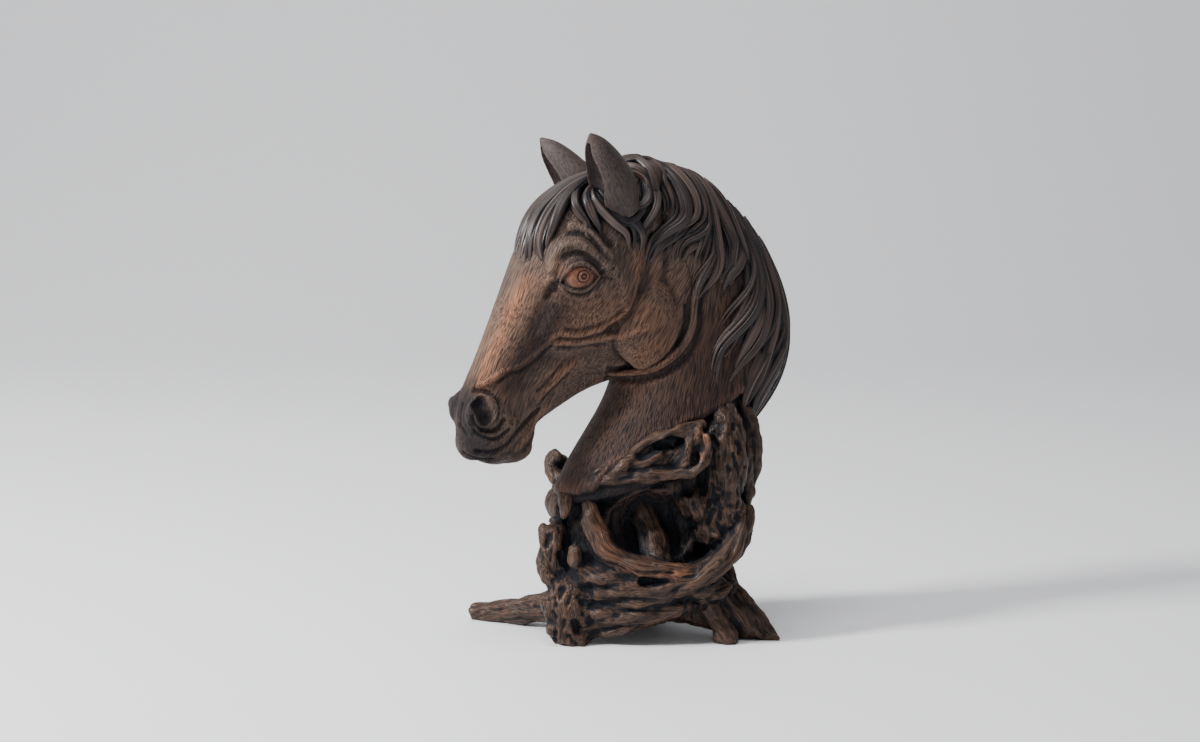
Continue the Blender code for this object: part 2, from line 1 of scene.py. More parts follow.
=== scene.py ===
# %% [markdown]
# # A horse's head rising from driftwood
#
# The real piece is one casting, stained like old wood: a horse's head and neck with a carved mane, on a
# weathered trunk that stands on its roots. The solids in the frame already hold its outline and main forms.
# Here every surface is made again with fine carving, and painted with a stain that is darker in the grooves.

# %% The frame
import math
import random

import bmesh
import bpy
import numpy as np
from mathutils import Euler, Matrix, Vector, noise
from mathutils.bvhtree import BVHTree
from mathutils.kdtree import KDTree


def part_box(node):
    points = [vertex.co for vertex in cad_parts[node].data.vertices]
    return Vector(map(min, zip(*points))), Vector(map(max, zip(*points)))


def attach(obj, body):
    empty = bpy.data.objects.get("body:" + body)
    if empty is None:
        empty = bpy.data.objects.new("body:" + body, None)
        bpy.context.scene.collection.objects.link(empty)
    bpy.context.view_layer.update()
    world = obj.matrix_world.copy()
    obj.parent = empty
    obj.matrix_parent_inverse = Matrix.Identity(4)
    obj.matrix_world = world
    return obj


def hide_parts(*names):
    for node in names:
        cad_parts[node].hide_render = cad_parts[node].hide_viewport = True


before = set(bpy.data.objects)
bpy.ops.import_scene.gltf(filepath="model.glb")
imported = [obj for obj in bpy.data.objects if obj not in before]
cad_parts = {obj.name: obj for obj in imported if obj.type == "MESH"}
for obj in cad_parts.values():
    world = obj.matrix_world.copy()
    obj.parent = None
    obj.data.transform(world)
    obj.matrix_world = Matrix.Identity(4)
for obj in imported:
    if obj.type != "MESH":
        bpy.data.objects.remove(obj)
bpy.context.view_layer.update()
SOLID = "horse_head_sculpture"
LOW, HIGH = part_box(SOLID)
print("frame:", list(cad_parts), "height", round(HIGH.z - LOW.z, 4))

# %% [markdown]
# ## Camera, floor and light
#
# The photograph looks a little down on the piece from its near side, with a long lens. A large soft light
# stands high on the left and the pale surroundings fill the shadows, as in a small product studio.

# %% Camera
VIEW_DISTANCE = 2.0
VIEW_RISE = math.radians(8)
VIEW_TARGET = Vector((-0.0176, 0.0, 0.2113))
SENSOR = 36.0
PHOTO_SCALE = 1280 / 1200

eye_line = Vector((0, -math.cos(VIEW_RISE), math.sin(VIEW_RISE)))
bpy.ops.object.camera_add(location=VIEW_TARGET + eye_line * VIEW_DISTANCE)
camera = bpy.context.object
camera.rotation_euler = (-eye_line).to_track_quat("-Z", "Y").to_euler()
camera.data.sensor_width = SENSOR
camera.data.lens = SENSOR * PHOTO_SCALE * VIEW_DISTANCE
bpy.context.scene.camera = camera
print("camera lens", camera.data.lens)

# %% Floor and backdrop
FLOOR_WIDE = 9.0
WALL_AT = 3.2
WALL_HIGH = 4.0
CORNER_RADIUS = 1.6
SWEEP_COLOUR = (0.80, 0.805, 0.82, 1)

bpy.ops.object.select_all(action="DESELECT")
bpy.ops.mesh.primitive_plane_add(size=FLOOR_WIDE, location=(0, WALL_AT - FLOOR_WIDE / 2, 0))
sweep = bpy.context.object
sweep.name = "sweep"
bpy.ops.object.mode_set(mode="EDIT")
shape = bmesh.from_edit_mesh(sweep.data)
for edge in shape.edges:
    edge.select = all(point.co.y > 0 for point in edge.verts)
shape.select_flush_mode()
bmesh.update_edit_mesh(sweep.data)
bpy.ops.mesh.select_mode(type="EDGE")
bpy.ops.mesh.extrude_region_move(TRANSFORM_OT_translate={"value": (0, 0, WALL_HIGH)})
shape = bmesh.from_edit_mesh(sweep.data)
for edge in shape.edges:
    edge.select = all(point.co.y > 0 and point.co.z < 0.1 for point in edge.verts)
bmesh.update_edit_mesh(sweep.data)
bpy.ops.mesh.bevel(offset=CORNER_RADIUS, segments=24, affect="EDGES")
bpy.ops.object.mode_set(mode="OBJECT")
bpy.ops.object.shade_smooth()
sweep_paint = bpy.data.materials.new("pale_sweep")
sweep_paint.use_nodes = True
sweep_shader = sweep_paint.node_tree.nodes["Principled BSDF"]
sweep_shader.inputs["Base Color"].default_value = SWEEP_COLOUR
sweep_shader.inputs["Roughness"].default_value = 0.7
sweep.data.materials.append(sweep_paint)
print("sweep:", len(sweep.data.polygons), "faces")

# %% Light
room = bpy.data.worlds.new("pale_room")
bpy.context.scene.world = room
room.use_nodes = True
surroundings = room.node_tree.nodes["Background"]
surroundings.inputs["Color"].default_value = (0.84, 0.85, 0.88, 1)
surroundings.inputs["Strength"].default_value = 0.44


def soft_light(name, place, target, size, power):
    """A square area light aimed at a point: its side in metres and its power in watts."""
    bpy.ops.object.light_add(type="AREA", location=place)
    lamp = bpy.context.object
    lamp.name = name
    lamp.rotation_euler = (Vector(target) - Vector(place)).to_track_quat("-Z", "Y").to_euler()
    lamp.data.size = size
    lamp.data.energy = power


soft_light("key_light", (-1.7, -0.75, 1.5), (0, 0, 0.2), 0.36, 92)
soft_light("top_light", (-0.35, -0.6, 2.1), (0, 0, 0.2), 1.0, 30)
soft_light("rim_light", (-1.6, 1.0, 0.9), (0, 0, 0.25), 0.8, 3)
soft_light("wall_light", (-0.8, 0.8, 2.4), (-0.8, 3.0, 0.6), 1.6, 20)

# %% [markdown]
# ## Carving units
#
# Every form is given in carving units, about a millimetre each, in the place where the piece was carved. The
# frame's own box says how large a unit is and where the carving stands.

# %% Units
CARVED_LOW = Vector((-129.97, -89.92, 2.0))
CARVED_HEIGHT = 399.7
UNIT = (HIGH.z - LOW.z) / CARVED_HEIGHT
STAND = Matrix.Translation(LOW - CARVED_LOW * UNIT)
HEAD_TURN = math.radians(24)
NECK_AXIS = Vector((34.6, 0, 0))
TURN = Matrix.Translation(NECK_AXIS * UNIT) @ Matrix.Rotation(HEAD_TURN, 4, "Z")
NEAR, FAR = -1, 1
print("unit", UNIT, "stand", STAND.to_translation())

# %% Small tools for operators and meshes


def choose(*objects):
    """Selects just these objects, the first one active."""
    bpy.ops.object.select_all(action="DESELECT")
    for obj in objects:
        obj.select_set(True)
    bpy.context.view_layer.objects.active = objects[0]
    return objects[0]


def apply(obj, kind, **settings):
    """Adds a modifier, sets it and applies it."""
    choose(obj)
    added = obj.modifiers.new(kind.lower(), kind)
    for name, value in settings.items():
        setattr(added, name, value)
    bpy.ops.object.modifier_apply(modifier=added.name)
    return obj


def joined(name, objects):
    """One object from several, or the same one under a new name."""
    choose(*objects)
    if len(objects) > 1:
        bpy.ops.object.join()
    objects[0].name = name
    return objects[0]


def moved(obj, matrix):
    """Moves an object and applies the move to its mesh."""
    choose(obj)
    obj.matrix_world = matrix @ obj.matrix_world
    bpy.ops.object.transform_apply(location=True, rotation=True, scale=True)
    return obj


def spline(points, count):
    """Evenly stepped points on the smooth curve through the given ones."""
    given = np.array(points, float)
    padded = np.vstack([2 * given[0] - given[1], given, 2 * given[-1] - given[-2]])
    steps = np.linspace(0, len(given) - 1, count)
    first = np.minimum(steps.astype(int), len(given) - 2)
    t = (steps - first)[:, None]
    p0, p1, p2, p3 = (padded[first + k] for k in range(4))
    curved = (2 * p0 - 5 * p1 + 4 * p2 - p3) * t**2 + (3 * p1 - p0 - 3 * p2 + p3) * t**3
    return 0.5 * (2 * p1 + (p2 - p0) * t + curved)


def numbers(values, count):
    """A row of numbers read evenly from a smooth run through the given ones."""
    return spline([(v, 0) for v in values], count)[:, 0]


def places(obj):
    """The mesh's points, in carving units."""
    spots = np.empty(len(obj.data.vertices) * 3)
    obj.data.vertices.foreach_get("co", spots)
    return spots.reshape(-1, 3) / UNIT


def outward(obj):
    """The mesh's normals at its points."""
    ways = np.empty(len(obj.data.vertices) * 3)
    obj.data.vertex_normals.foreach_get("vector", ways)
    return ways.reshape(-1, 3)


def put_places(obj, spots):
    """Sets the mesh's points, given in carving units."""
    obj.data.vertices.foreach_set("co", (spots * UNIT).ravel())
    obj.data.update()


def mark(obj, name, values):
    """Stores a number or a vector at each point, for the materials to read."""
    values = np.asarray(values, float)
    kind = "FLOAT" if values.ndim == 1 else "FLOAT_VECTOR"
    layer = obj.data.attributes.get(name) or obj.data.attributes.new(name, kind, "POINT")
    layer.data.foreach_set("value" if values.ndim == 1 else "vector", values.ravel())


def facing_out(obj):
    """Turns all the faces of a closed mesh outward."""
    choose(obj)
    bpy.ops.object.mode_set(mode="EDIT")
    bpy.ops.mesh.select_all(action="SELECT")
    bpy.ops.mesh.normals_make_consistent(inside=False)
    bpy.ops.object.mode_set(mode="OBJECT")
    return obj


def skin_of(obj):
    """The surface of an object, for laying paths on."""
    shape = bmesh.new()
    shape.from_mesh(obj.data)
    tree = BVHTree.FromBMesh(shape)
    shape.free()
    return tree


# %% [markdown]
# ## Masses
#
# A sculptor starts with masses and carves afterwards. A ball is a primitive, a limb is a curve with a round
# bevel, and a head or a neck is a cage: one ring of points, extruded section by section and then subdivided.
# The masses are joined and given one skin by a voxel remesh, the way clay closes over what it covers.

# %% Masses
WELD_DISTANCE = 0.00001
THINNEST = 0.25


def ball(name, centre, radii, turn=(0, 0, 0), detail=4):
    """An ellipsoid, turned about its centre by the given degrees."""
    bpy.ops.mesh.primitive_ico_sphere_add(
        subdivisions=detail,
        radius=UNIT,
        location=Vector(centre) * UNIT,
        rotation=[math.radians(angle) for angle in turn],
        scale=radii,
    )
    made = bpy.context.object
    made.name = name
    bpy.ops.object.transform_apply(location=True, rotation=True, scale=True)
    return made


def limb(name, points, radii, sides=3, profile=None, twist=0.0):
    """A rod along a smooth path, round or with a profile of its own, its radius given along it."""
    path = spline(points, max(6 * len(points), 12)) if len(points) < 16 else np.array(points)
    curve = bpy.data.curves.new(name, "CURVE")
    curve.dimensions = "3D"
    curve.use_fill_caps = True
    if profile:
        curve.bevel_mode = "OBJECT"
        curve.bevel_object = profile
    else:
        curve.bevel_depth = UNIT
        curve.bevel_resolution = sides
    line = curve.splines.new("POLY")
    line.points.add(len(path) - 1)
    thick = numbers(radii, len(path))
    for k, (point, spot) in enumerate(zip(line.points, path)):
        point.co = (*(spot * UNIT), 1.0)
        point.radius = max(thick[k], THINNEST)
        point.tilt = twist * k / len(path)
    made = bpy.data.objects.new(name, curve)
    bpy.context.scene.collection.objects.link(made)
    choose(made)
    bpy.ops.object.convert(target="MESH")
    return bpy.context.object


def welded(obj):
    """Joins a converted curve's caps to its sides."""
    choose(obj)
    bpy.ops.object.mode_set(mode="EDIT")
    bpy.ops.mesh.select_all(action="SELECT")
    bpy.ops.mesh.remove_doubles(threshold=WELD_DISTANCE)
    bpy.ops.object.mode_set(mode="OBJECT")
    return facing_out(obj)


def mirrored(obj):
    """The same mass on the far side, where y is positive."""
    choose(obj)
    bpy.ops.object.duplicate()
    return facing_out(moved(bpy.context.object, Matrix.Diagonal((1, -1, 1, 1))))


def cage(name, sections, levels, count):
    """A body through upright sections that are alike on both sides: a ring extruded and then subdivided."""
    fronts = spline([s[0] for s in sections], count)
    backs = spline([s[1] for s in sections], count)
    widths = spline([s[2] for s in sections], count)
    bpy.ops.mesh.primitive_circle_add(vertices=2 * len(levels) + 2, radius=UNIT, fill_type="NGON")
    made = bpy.context.object
    made.name = name
    bpy.ops.object.mode_set(mode="EDIT")
    for step, (front, back, half) in enumerate(zip(fronts, backs, widths)):
        if step:
            bpy.ops.mesh.extrude_region_move()
        side = [(back + (front - back) * level, w) for level, w in zip(levels, half)]
        ring = [(back, 0.0)] + side + [(front, 0.0)] + [(p, -w) for p, w in reversed(side)]
        shape = bmesh.from_edit_mesh(made.data)
        end = next(face for face in shape.faces if face.select)
        for corner, (p, w) in zip(end.verts, ring):
            corner.co = Vector((p[0], w, p[1])) * UNIT
        bmesh.update_edit_mesh(made.data)
    bpy.ops.object.mode_set(mode="OBJECT")
    return apply(facing_out(made), "SUBSURF", levels=2, render_levels=2)


def fused(name, objects, grain, soften):
    """One skin around all the masses, with its creases softened: the finer the grain, the more points."""
    made = joined(name, objects)
    made.data.remesh_voxel_size = grain * UNIT
    choose(made)
    bpy.ops.object.voxel_remesh()
    return apply(made, "SMOOTH", factor=0.5, iterations=soften)


# %% [markdown]
# ## Carving tools
#
# A gouge follows a path along the skin and lifts or sinks it, fading out to both sides. A path is drawn in
# the side view and laid on the skin by casting it sideways until it meets the surface.

# %% Carving
CAST_FROM = 120
NEAR_MIDDLE = 6


def evened(laid, rounds):
    """Takes the steps out of a path, leaving its ends where they are."""
    for _ in range(rounds):
        laid[1:-1] = (laid[:-2] + 2 * laid[1:-1] + laid[2:]) / 4
    return laid


def draped(path, skin, side, lift=0.0, count=24):
    """A smooth path of (x, z) points laid on one side of a skin, or nearest the given (x, y, z) points."""
    laid = []
    for p, rise in zip(spline(path, count), np.broadcast_to(lift, count)):
        flat = len(p) == 2
        start = Vector((p[0], side * CAST_FROM if flat else p[1], p[-1])) * UNIT
        spot = None
        if flat:
            spot, normal, _, _ = skin.ray_cast(start, Vector((0, -side, 0)))
            start.y = side * NEAR_MIDDLE * UNIT
        if spot is None:
            spot, normal, _, _ = skin.find_nearest(start)
        laid.append((spot + normal * rise * UNIT) / UNIT)
    return evened(np.array([list(p) for p in laid]), 2)


def nearness(spots, path, radius):
    """1 on a path, falling smoothly to 0 at the radius, for each of the spots."""
    line = np.array(path, float)
    near = np.full(len(spots), np.inf)
    low, high = line.min(0) - radius, line.max(0) + radius
    close = np.where(((spots > low) & (spots < high)).all(1))[0]
    some = spots[close]
    best = np.full(len(close), np.inf)
    for a, b in zip(line, line[1:]):
        along = np.clip((some - a) @ (b - a) / max((b - a) @ (b - a), 1e-9), 0, 1)
        best = np.minimum(best, ((some - a - along[:, None] * (b - a)) ** 2).sum(1))
    near[close] = np.sqrt(best)
    fall = np.clip(1 - near / radius, 0, 1)
    return fall * fall * (3 - 2 * fall)


def carved(obj, path, radius, depth):
    """Raises the skin along a path, or sinks it where depth is negative."""
    spots = places(obj)
    put_places(obj, spots + outward(obj) * (nearness(spots, path, radius) * depth)[:, None])


def grained(obj, depth, wide, long):
    """Carves grooves that follow the grain marks, of the given depth, width and length."""
    grain = np.empty(len(obj.data.vertices) * 3)
    obj.data.attributes["grain"].data.foreach_get("vector", grain)
    grain = grain.reshape(-1, 3) / (wide, wide, long)
    waves = np.array([noise.noise(Vector(g)) for g in grain])
    height = 0.4 - np.abs(waves) * 2
    put_places(obj, places(obj) + outward(obj) * (height * depth)[:, None])


print("tools ready")

# %% [markdown]
# ## Head and neck
#
# The head is a cage from the lips to the back of the skull, and the neck one from inside the skull down into
# the wood. Eye sockets, jowls, nostril wings, lips and chin are balls that the skin closes over.

# %% Sections of the head and the neck
HEAD_LEVELS = (0.06, 0.32, 0.58, 0.82, 0.96)
HEAD_SECTIONS = (
    ((-158, 152), (-144, 146), (4, 9, 11, 10, 5)),
    ((-171, 166), (-120, 151), (9, 18, 20, 18, 10)),
    ((-175, 186), (-108, 164), (9, 19, 24, 23, 12)),
    ((-169, 205), (-107, 177), (8, 16, 20, 20, 12)),
    ((-159, 226), (-94, 184), (7, 15, 18, 19, 12)),
    ((-145, 259), (-70, 198), (8, 17, 22, 23, 15)),
    ((-132, 291), (-44, 206), (9, 23, 30, 31, 19)),
    ((-118, 323), (-12, 213), (11, 30, 37, 39, 25)),
    ((-100, 347), (8, 236), (12, 33, 38, 37, 23)),
    ((-70, 364), (14, 268), (13, 31, 34, 31, 18)),
    ((-40, 370), (10, 300), (12, 26, 29, 26, 14)),
    ((-22, 362), (-4, 328), (8, 16, 18, 16, 8)),
)
NECK_LEVELS = (0.05, 0.27, 0.52, 0.77, 0.95)
NECK_SECTIONS = (
    ((-20, 280), (-15, 372), (12, 22, 24, 22, 10)),
    ((-27, 240), (21, 367), (14, 29, 31, 26, 12)),
    ((-39, 219), (59, 338), (15, 32, 34, 28, 14)),
    ((-46, 203), (87, 304), (16, 34, 37, 30, 15)),
    ((-54, 186), (104, 264), (17, 36, 40, 33, 16)),
    ((-67, 167), (106, 229), (18, 38, 43, 36, 17)),
    ((-80, 148), (98, 200), (19, 40, 45, 38, 18)),
    ((-90, 130), (86, 180), (19, 41, 47, 40, 19)),
    ((-94, 114), (76, 164), (17, 40, 48, 42, 20)),
    ((-84, 105), (62, 148), (10, 34, 44, 38, 14)),
)

# %% Masses of the head and the neck
SKIN_GRAIN = 1.44
masses = [cage("head", HEAD_SECTIONS, HEAD_LEVELS, 16), cage("neck", NECK_SECTIONS, NECK_LEVELS, 16)]
for bulge in (
    ball("eye_socket", (-89, -30, 295), (20, 11, 17)),
    ball("jowl", (-24, -24, 254), (32, 12, 38), turn=(0, -18, 0)),
    ball("nostril_wing", (-159, -17, 191), (13, 9, 15), turn=(0, 20, 0)),
):
    masses += [bulge, mirrored(bulge)]
masses += [
    ball("poll", (-25, 0, 361), (22, 17, 14)),
    ball("upper_lip", (-160, 0, 167), (13, 15, 15)),
    ball("chin", (-130, 0, 160), (19, 13, 12.5)),
]
head = fused("head_and_neck", masses, SKIN_GRAIN, 8)
skin = skin_of(head)
print("head and neck:", len(head.data.vertices), "points")

# %% [markdown]
# ## The face
#
# Each stroke below is one bone, fold or groove of the face, drawn in the side view: its path, how wide the
# gouge is and how high or deep it works. The same strokes are carved on both sides.

# %% Strokes of the face
FACE_STROKES = (
    # The two bony ridges of the cheek, and the grooves between and beside them.
    (((-98, 249), (-85, 247), (-69, 250), (-55, 255.5), (-44, 265), (-38, 277), (-35, 289)), 4.6, 1.3),
    (((-99, 242.5), (-85, 241.5), (-71, 242.5), (-57, 244.5), (-44, 247), (-30, 252)), 4.4, 1.2),
    (((-98, 246), (-83, 244.3), (-69, 246.8), (-57, 250.5)), 2.6, -1.5),
    (((-99, 238.5), (-85, 237.0), (-71, 238.0), (-60, 238.5)), 3.0, -1.2),
    (((-94, 253), (-80, 252), (-66, 255.5), (-52, 262), (-45, 272)), 3.6, -0.9),
    # The vein from the cheek to the nostril, its groove, and the hollow of the cheek under it.
    (((-156, 213), (-146, 218), (-137, 224), (-130, 224.5), (-124, 229), (-115, 235), (-101, 249)), 2.8, 1.2),
    (((-146, 214), (-136, 220), (-128, 221), (-120, 226), (-112, 232), (-104, 240)), 2.8, -1.1),
    (((-106, 232), (-94, 227), (-80, 230), (-66, 234)), 10, -2.2),
    (((-111, 198), (-100, 208), (-91, 217), (-85, 224)), 3.4, 1.1),
    (((-106, 198), (-96, 208), (-87, 216)), 3.0, -1.0),
    (((-112, 205), (-103, 213), (-94, 224)), 3.2, -1.2),
    # The deep groove between the cheek and the mane.
    (((-23, 320), (-26, 305), (-27, 295), (-30, 285), (-34, 274), (-42, 262), (-54, 252)), 11, -3.6),
    (((-22, 322), (-24, 305), (-26, 293), (-31, 281), (-37, 270)), 4.2, -1.6),
    # The jowl's edge, and the grooves on both sides of the gullet's ridge.
    (((-56, 221), (-33, 220), (-14, 229), (-3, 244), (1, 259), (0, 276)), 7, 1.3),
    (((-52, 219.5), (-33, 216.8), (-16, 223), (-3, 236), (4, 250), (5, 266)), 4.2, -2.0),
    (((-50, 210), (-28, 209.5), (-8, 217), (8, 230), (16, 247), (17, 266), (22, 280)), 5.0, -2.0),
    # The brow, the hollow under it, the fold over it and the hollow of the temple.
    (
        ((-110, 290), (-108, 301), (-104, 311), (-98, 317), (-90, 319), (-83, 316), (-75, 310), (-64, 300)),
        6.0, 2.3,
    ),
    (((-105, 296), (-101, 304), (-95, 309.5), (-87, 311), (-79, 308.5), (-70, 301.5)), 4.4, -1.6),
    (((-93, 326), (-84, 325.5), (-76, 321), (-69, 313)), 3.6, -1.7),
    (((-90, 332), (-78, 328), (-68, 320), (-60, 308)), 5.0, 1.6),
    (((-78, 337), (-69, 329), (-62, 318)), 7.5, -3.0),
    # Tear duct, the corner's wrinkles, the fold under the eye, and the hollow in front of the cheek.
    (((-102, 291), (-106, 287), (-110, 279)), 4.6, -1.7),
    (((-70, 295), (-65, 298), (-59, 298.5)), 2.6, -1.2),
    (((-70, 291.5), (-65, 291.5), (-60, 290)), 2.4, -0.8),
    (((-101, 284.5), (-94, 278.5), (-85, 276.5), (-76, 279), (-69, 286)), 3.4, 1.0),
    (((-118, 256), (-113, 268), (-107, 282)), 10, -1.6),
    (((-60, 300), (-52, 290), (-47, 278), (-46, 268)), 7, 1.2),
    # Mouth, lips and chin.
    (((-162, 161), (-150, 160.5), (-139, 166), (-130, 174), (-120, 181), (-110, 189)), 3.8, -2.6),
    (((-171, 159), (-160, 154.5), (-150, 154)), 3.4, -2.0),
    (((-152, 152), (-140, 154), (-129, 162), (-120, 171)), 4.2, 1.2),
    (((-128, 162), (-116, 174), (-108, 185), (-100, 192)), 4.2, 1.2),
    (((-122, 158), (-112, 170), (-106, 181)), 3.2, -1.0),
    # The smile under the nostril, the lip's front fold, and the notch and the rise over the nostril.
    (((-169, 190), (-167, 184), (-163, 179.5), (-154, 177), (-147, 179.5), (-142, 185)), 3.2, -3.0),
    (((-169, 183), (-165, 177), (-160, 173.5), (-152, 171), (-145, 173), (-138, 177)), 3.0, -2.2),
    (((-166, 180.5), (-162, 176.5), (-153, 174), (-145, 176.5)), 2.2, 1.2),
    (((-173, 198), (-174.5, 186), (-170, 175)), 3.6, -1.8),
    (((-163, 208), (-157, 207.5), (-152, 204.5)), 3.0, -2.8),
    (((-158, 212), (-150, 217), (-144, 221.5)), 4.6, 1.6),
)
NOSTRIL_RIM = ((-160, 205), (-151.5, 201), (-149, 192), (-156, 184), (-166, 185.5), (-170, 196), (-160, 205))
NOSTRIL_DEEP = ((-163, 200), (-160, 194), (-157.5, 188.5))

for side in (NEAR, FAR):
    for path, radius, depth in FACE_STROKES:
        carved(head, draped(path, skin, side), radius, depth)
    carved(head, draped(NOSTRIL_RIM, skin, side, count=36), 3.4, 1.5)
    for depth in (-5.0, -5.0, -4.6):
        carved(head, draped(NOSTRIL_DEEP, skin, side, count=8), 7.8, depth)
print("face strokes:", len(FACE_STROKES))

# %% [markdown]
# ## Eyes
#
# A carved eye has a ball with a ring cut round the pupil and a raised dot in it. Two lids close over the
# ball. The ball is a sphere whose pole looks out of the head, so the rings are turned about that pole.

# %% Eyes
EYE_CENTRE = (-87, 33.4, 294)
EYE_RADII = (13.4, 8.8, 10.4)
EYE_RINGS = ((0.12, 0.22, -1.6), (0.25, 0.33, 0.5), (0.42, 0.52, -1.4))


def eyeball(side):
    """The ball with its rings, looking out of the head."""
    look = Euler((math.radians(90 * -side), 0, math.radians(-14 * side)))
    bpy.ops.mesh.primitive_uv_sphere_add(segments=64, ring_count=96, radius=1, rotation=look)
    made = bpy.context.object
    made.name = "near_eye" if side == NEAR else "far_eye"
    pole = look.to_matrix() @ Vector((0, 0, 1))
    for point in made.data.vertices:
        spot = made.matrix_world @ point.co
        away = spot.angle(pole)
        rise = sum(h for start, stop, h in EYE_RINGS if start <= away <= stop)
        point.co *= 1 + 0.045 * rise
    size = Matrix.Diagonal((*(Vector(EYE_RADII) * UNIT), 1))
    centre = Vector((EYE_CENTRE[0], side * EYE_CENTRE[1], EYE_CENTRE[2])) * UNIT
    moved(made, Matrix.Translation(centre) @ size)
    bpy.ops.object.shade_smooth()
    return made


LID_PATHS = (
    (((-103, 290), (-98, 298.5), (-89, 303.5), (-79, 301), (-70, 293)), (0.8, 1.6, 2.1, 1.8, 0.8)),
    (((-103, 290), (-96, 284.5), (-86, 282.5), (-77, 285.5), (-70, 293)), (0.8, 1.3, 1.6, 1.4, 0.8)),
)
GULLET_RIDGE = (
    (19, 290), (12, 276), (11, 259), (8, 246), (1, 234), (-11, 224), (-26, 217), (-39, 214), (-52, 215),
)
eyes = [eyeball(NEAR), eyeball(FAR)]
lids = []
for side in (NEAR, FAR):
    for path, radii in LID_PATHS:
        lids.append(limb("eyelid", draped(path, skin, side, 0.7, 18), radii))
    gullet = draped(GULLET_RIDGE, skin, side, 1.2, 30)
    lids.append(limb("gullet_ridge", gullet, (2.2, 2.8, 3.0, 3.1, 3.1, 3.0, 2.6, 1.6)))
head = fused("head_and_neck", [head] + lids, SKIN_GRAIN, 1)
skin = skin_of(head)
print("eyes and lids:", len(eyes), len(lids), "head points", len(head.data.vertices))

# %% [markdown]
# ## Ears
#
# An ear is a limb that tapers to a point, pressed flatter and hollowed in front with a second limb by a
# Boolean. It is made upright, then leaned forwards and out to its place on the skull.

# %% Ears
EAR_HEIGHT = 64.0


def ear(side):
    """One ear in its place on the skull."""
    height = EAR_HEIGHT + (3 if side == NEAR else 1)
    rise = [(1, -0.1), (1, 0.25), (0, 0.55), (-1.5, 0.82), (-3, 1)]
    made = welded(limb("ear", [(0, y, t * height) for y, t in rise], (16, 20, 16.5, 10, 1.2), sides=10))
    moved(made, Matrix.Diagonal((1, 0.86, 1, 1)))
    hollow = [(0, -15.5, 0.06 * height), (0, -11.5, 0.45 * height), (0, -6.5, 0.90 * height)]
    scoop = welded(limb("scoop", hollow, (5, 11.5, 2.2), sides=10))
    apply(made, "BOOLEAN", operation="DIFFERENCE", object=scoop)
    bpy.data.objects.remove(scoop)
    up = Vector((-33, 24 * side, 58)).normalized()
    facing = Vector((-0.98, 0.18 * side, 0))
    facing = (facing - up * facing.dot(up)).normalized()
    turn = Matrix(((-facing).cross(up), -facing, up)).transposed().to_4x4()
    root = Vector((-50, 27 * side, 345 - 3 * side)) * UNIT
    made = fused("near_ear" if side == NEAR else "far_ear", [made], 0.95, 4)
    mark(made, "grain", places(made) + (0, 0, 60 * side))
    return moved(made, Matrix.Translation(root) @ turn)


ears = [ear(NEAR), ear(FAR)]
print("ears:", [len(one.data.vertices) for one in ears])

# %% [markdown]
# ## Locks of hair
#
# A strand is a curve with a fluted profile that winds slowly along it. A lock is a bundle of strands: they
# start side by side on the crest, lie in a dome with the middle strand highest, and close up at the tip, so
# that dark gaps open between one lock and the next. Each lock follows a guide drawn from crest to tip.

# %% The fluted profile
FLUTES = 4
PROFILE_POINTS = 16


def fluted_profile(name, flutes, depth):
    """A closed ring with a ridge for each flute."""
    curve = bpy.data.curves.new(name, "CURVE")
    line = curve.splines.new("POLY")
    line.points.add(PROFILE_POINTS - 1)
    line.use_cyclic_u = True
    for k, point in enumerate(line.points):
        angle = 2 * math.pi * k / PROFILE_POINTS
        r = UNIT * (1 + depth * math.cos(flutes * angle))
        point.co = (r * math.cos(angle), r * math.sin(angle), 0, 1)
    made = bpy.data.objects.new(name, curve)
    bpy.context.scene.collection.objects.link(made)
    return made


hair_profile = fluted_profile("hair_profile", FLUTES, 0.15)


def strand(name, laid, radii, dice):
    """One strand along a laid path, with grain marks that run round and along it."""
    made = limb(name, laid, radii, profile=hair_profile, twist=dice.uniform(-0.7, 0.7))
    length = np.linalg.norm(np.diff(laid, axis=0), axis=1).sum()
    corners = np.empty(len(made.data.loops), int)
    made.data.loops.foreach_get("vertex_index", corners)
    uv = np.empty(len(made.data.loops) * 2)
    made.data.uv_layers[0].data.foreach_get("uv", uv)
    at = np.zeros((len(made.data.vertices), 2))
    at[corners] = uv.reshape(-1, 2)
    along, angle = at[:, 0] * length, 2 * math.pi * at[:, 1]
    start = dice.uniform(0, 400)
    mark(made, "grain", np.stack([4 * np.cos(angle), 4 * np.sin(angle), along + start], 1))
    mark(made, "shade", np.full(len(angle), dice.uniform(-0.1, 0.75)))
    return made


# %% Guide locks of the mane
MANE_GUIDES = (
    ((-38, 379), (-25, 377), (-18, 366), (-20, 351), (-27, 340), (-33, 327), (-37, 309)),
    ((-22, 380), (-5, 370), (3, 352), (4, 333), (-8, 321), (-21, 309), (-30, 290)),
    ((-8, 379), (8, 367), (18, 350), (22, 333), (15, 322), (5, 312), (2, 296)),
    ((8, 374), (23, 359), (31, 340), (35, 315), (31, 296), (17, 280), (9, 262)),
    ((24, 364), (36, 349), (45, 331), (53, 314), (47, 302), (40, 291), (41, 277)),
    ((40, 347), (53, 333), (63, 312), (67, 287), (62, 262), (44, 240), (30, 222), (25, 196)),
    ((56, 335), (67, 315), (75, 291), (77, 265), (66, 241), (51, 220), (44, 200)),
    ((72, 318), (80, 296), (87, 267), (86, 243), (73, 220), (58, 198), (51, 170)),
    ((85, 300), (93, 275), (99, 246), (95, 224), (81, 203), (67, 183), (58, 155)),
    ((93, 284), (101, 258), (105, 236), (102, 214), (92, 194), (80, 172), (72, 146)),
)
LOCK_POINTS = 40
PATH_ROUNDS = 5
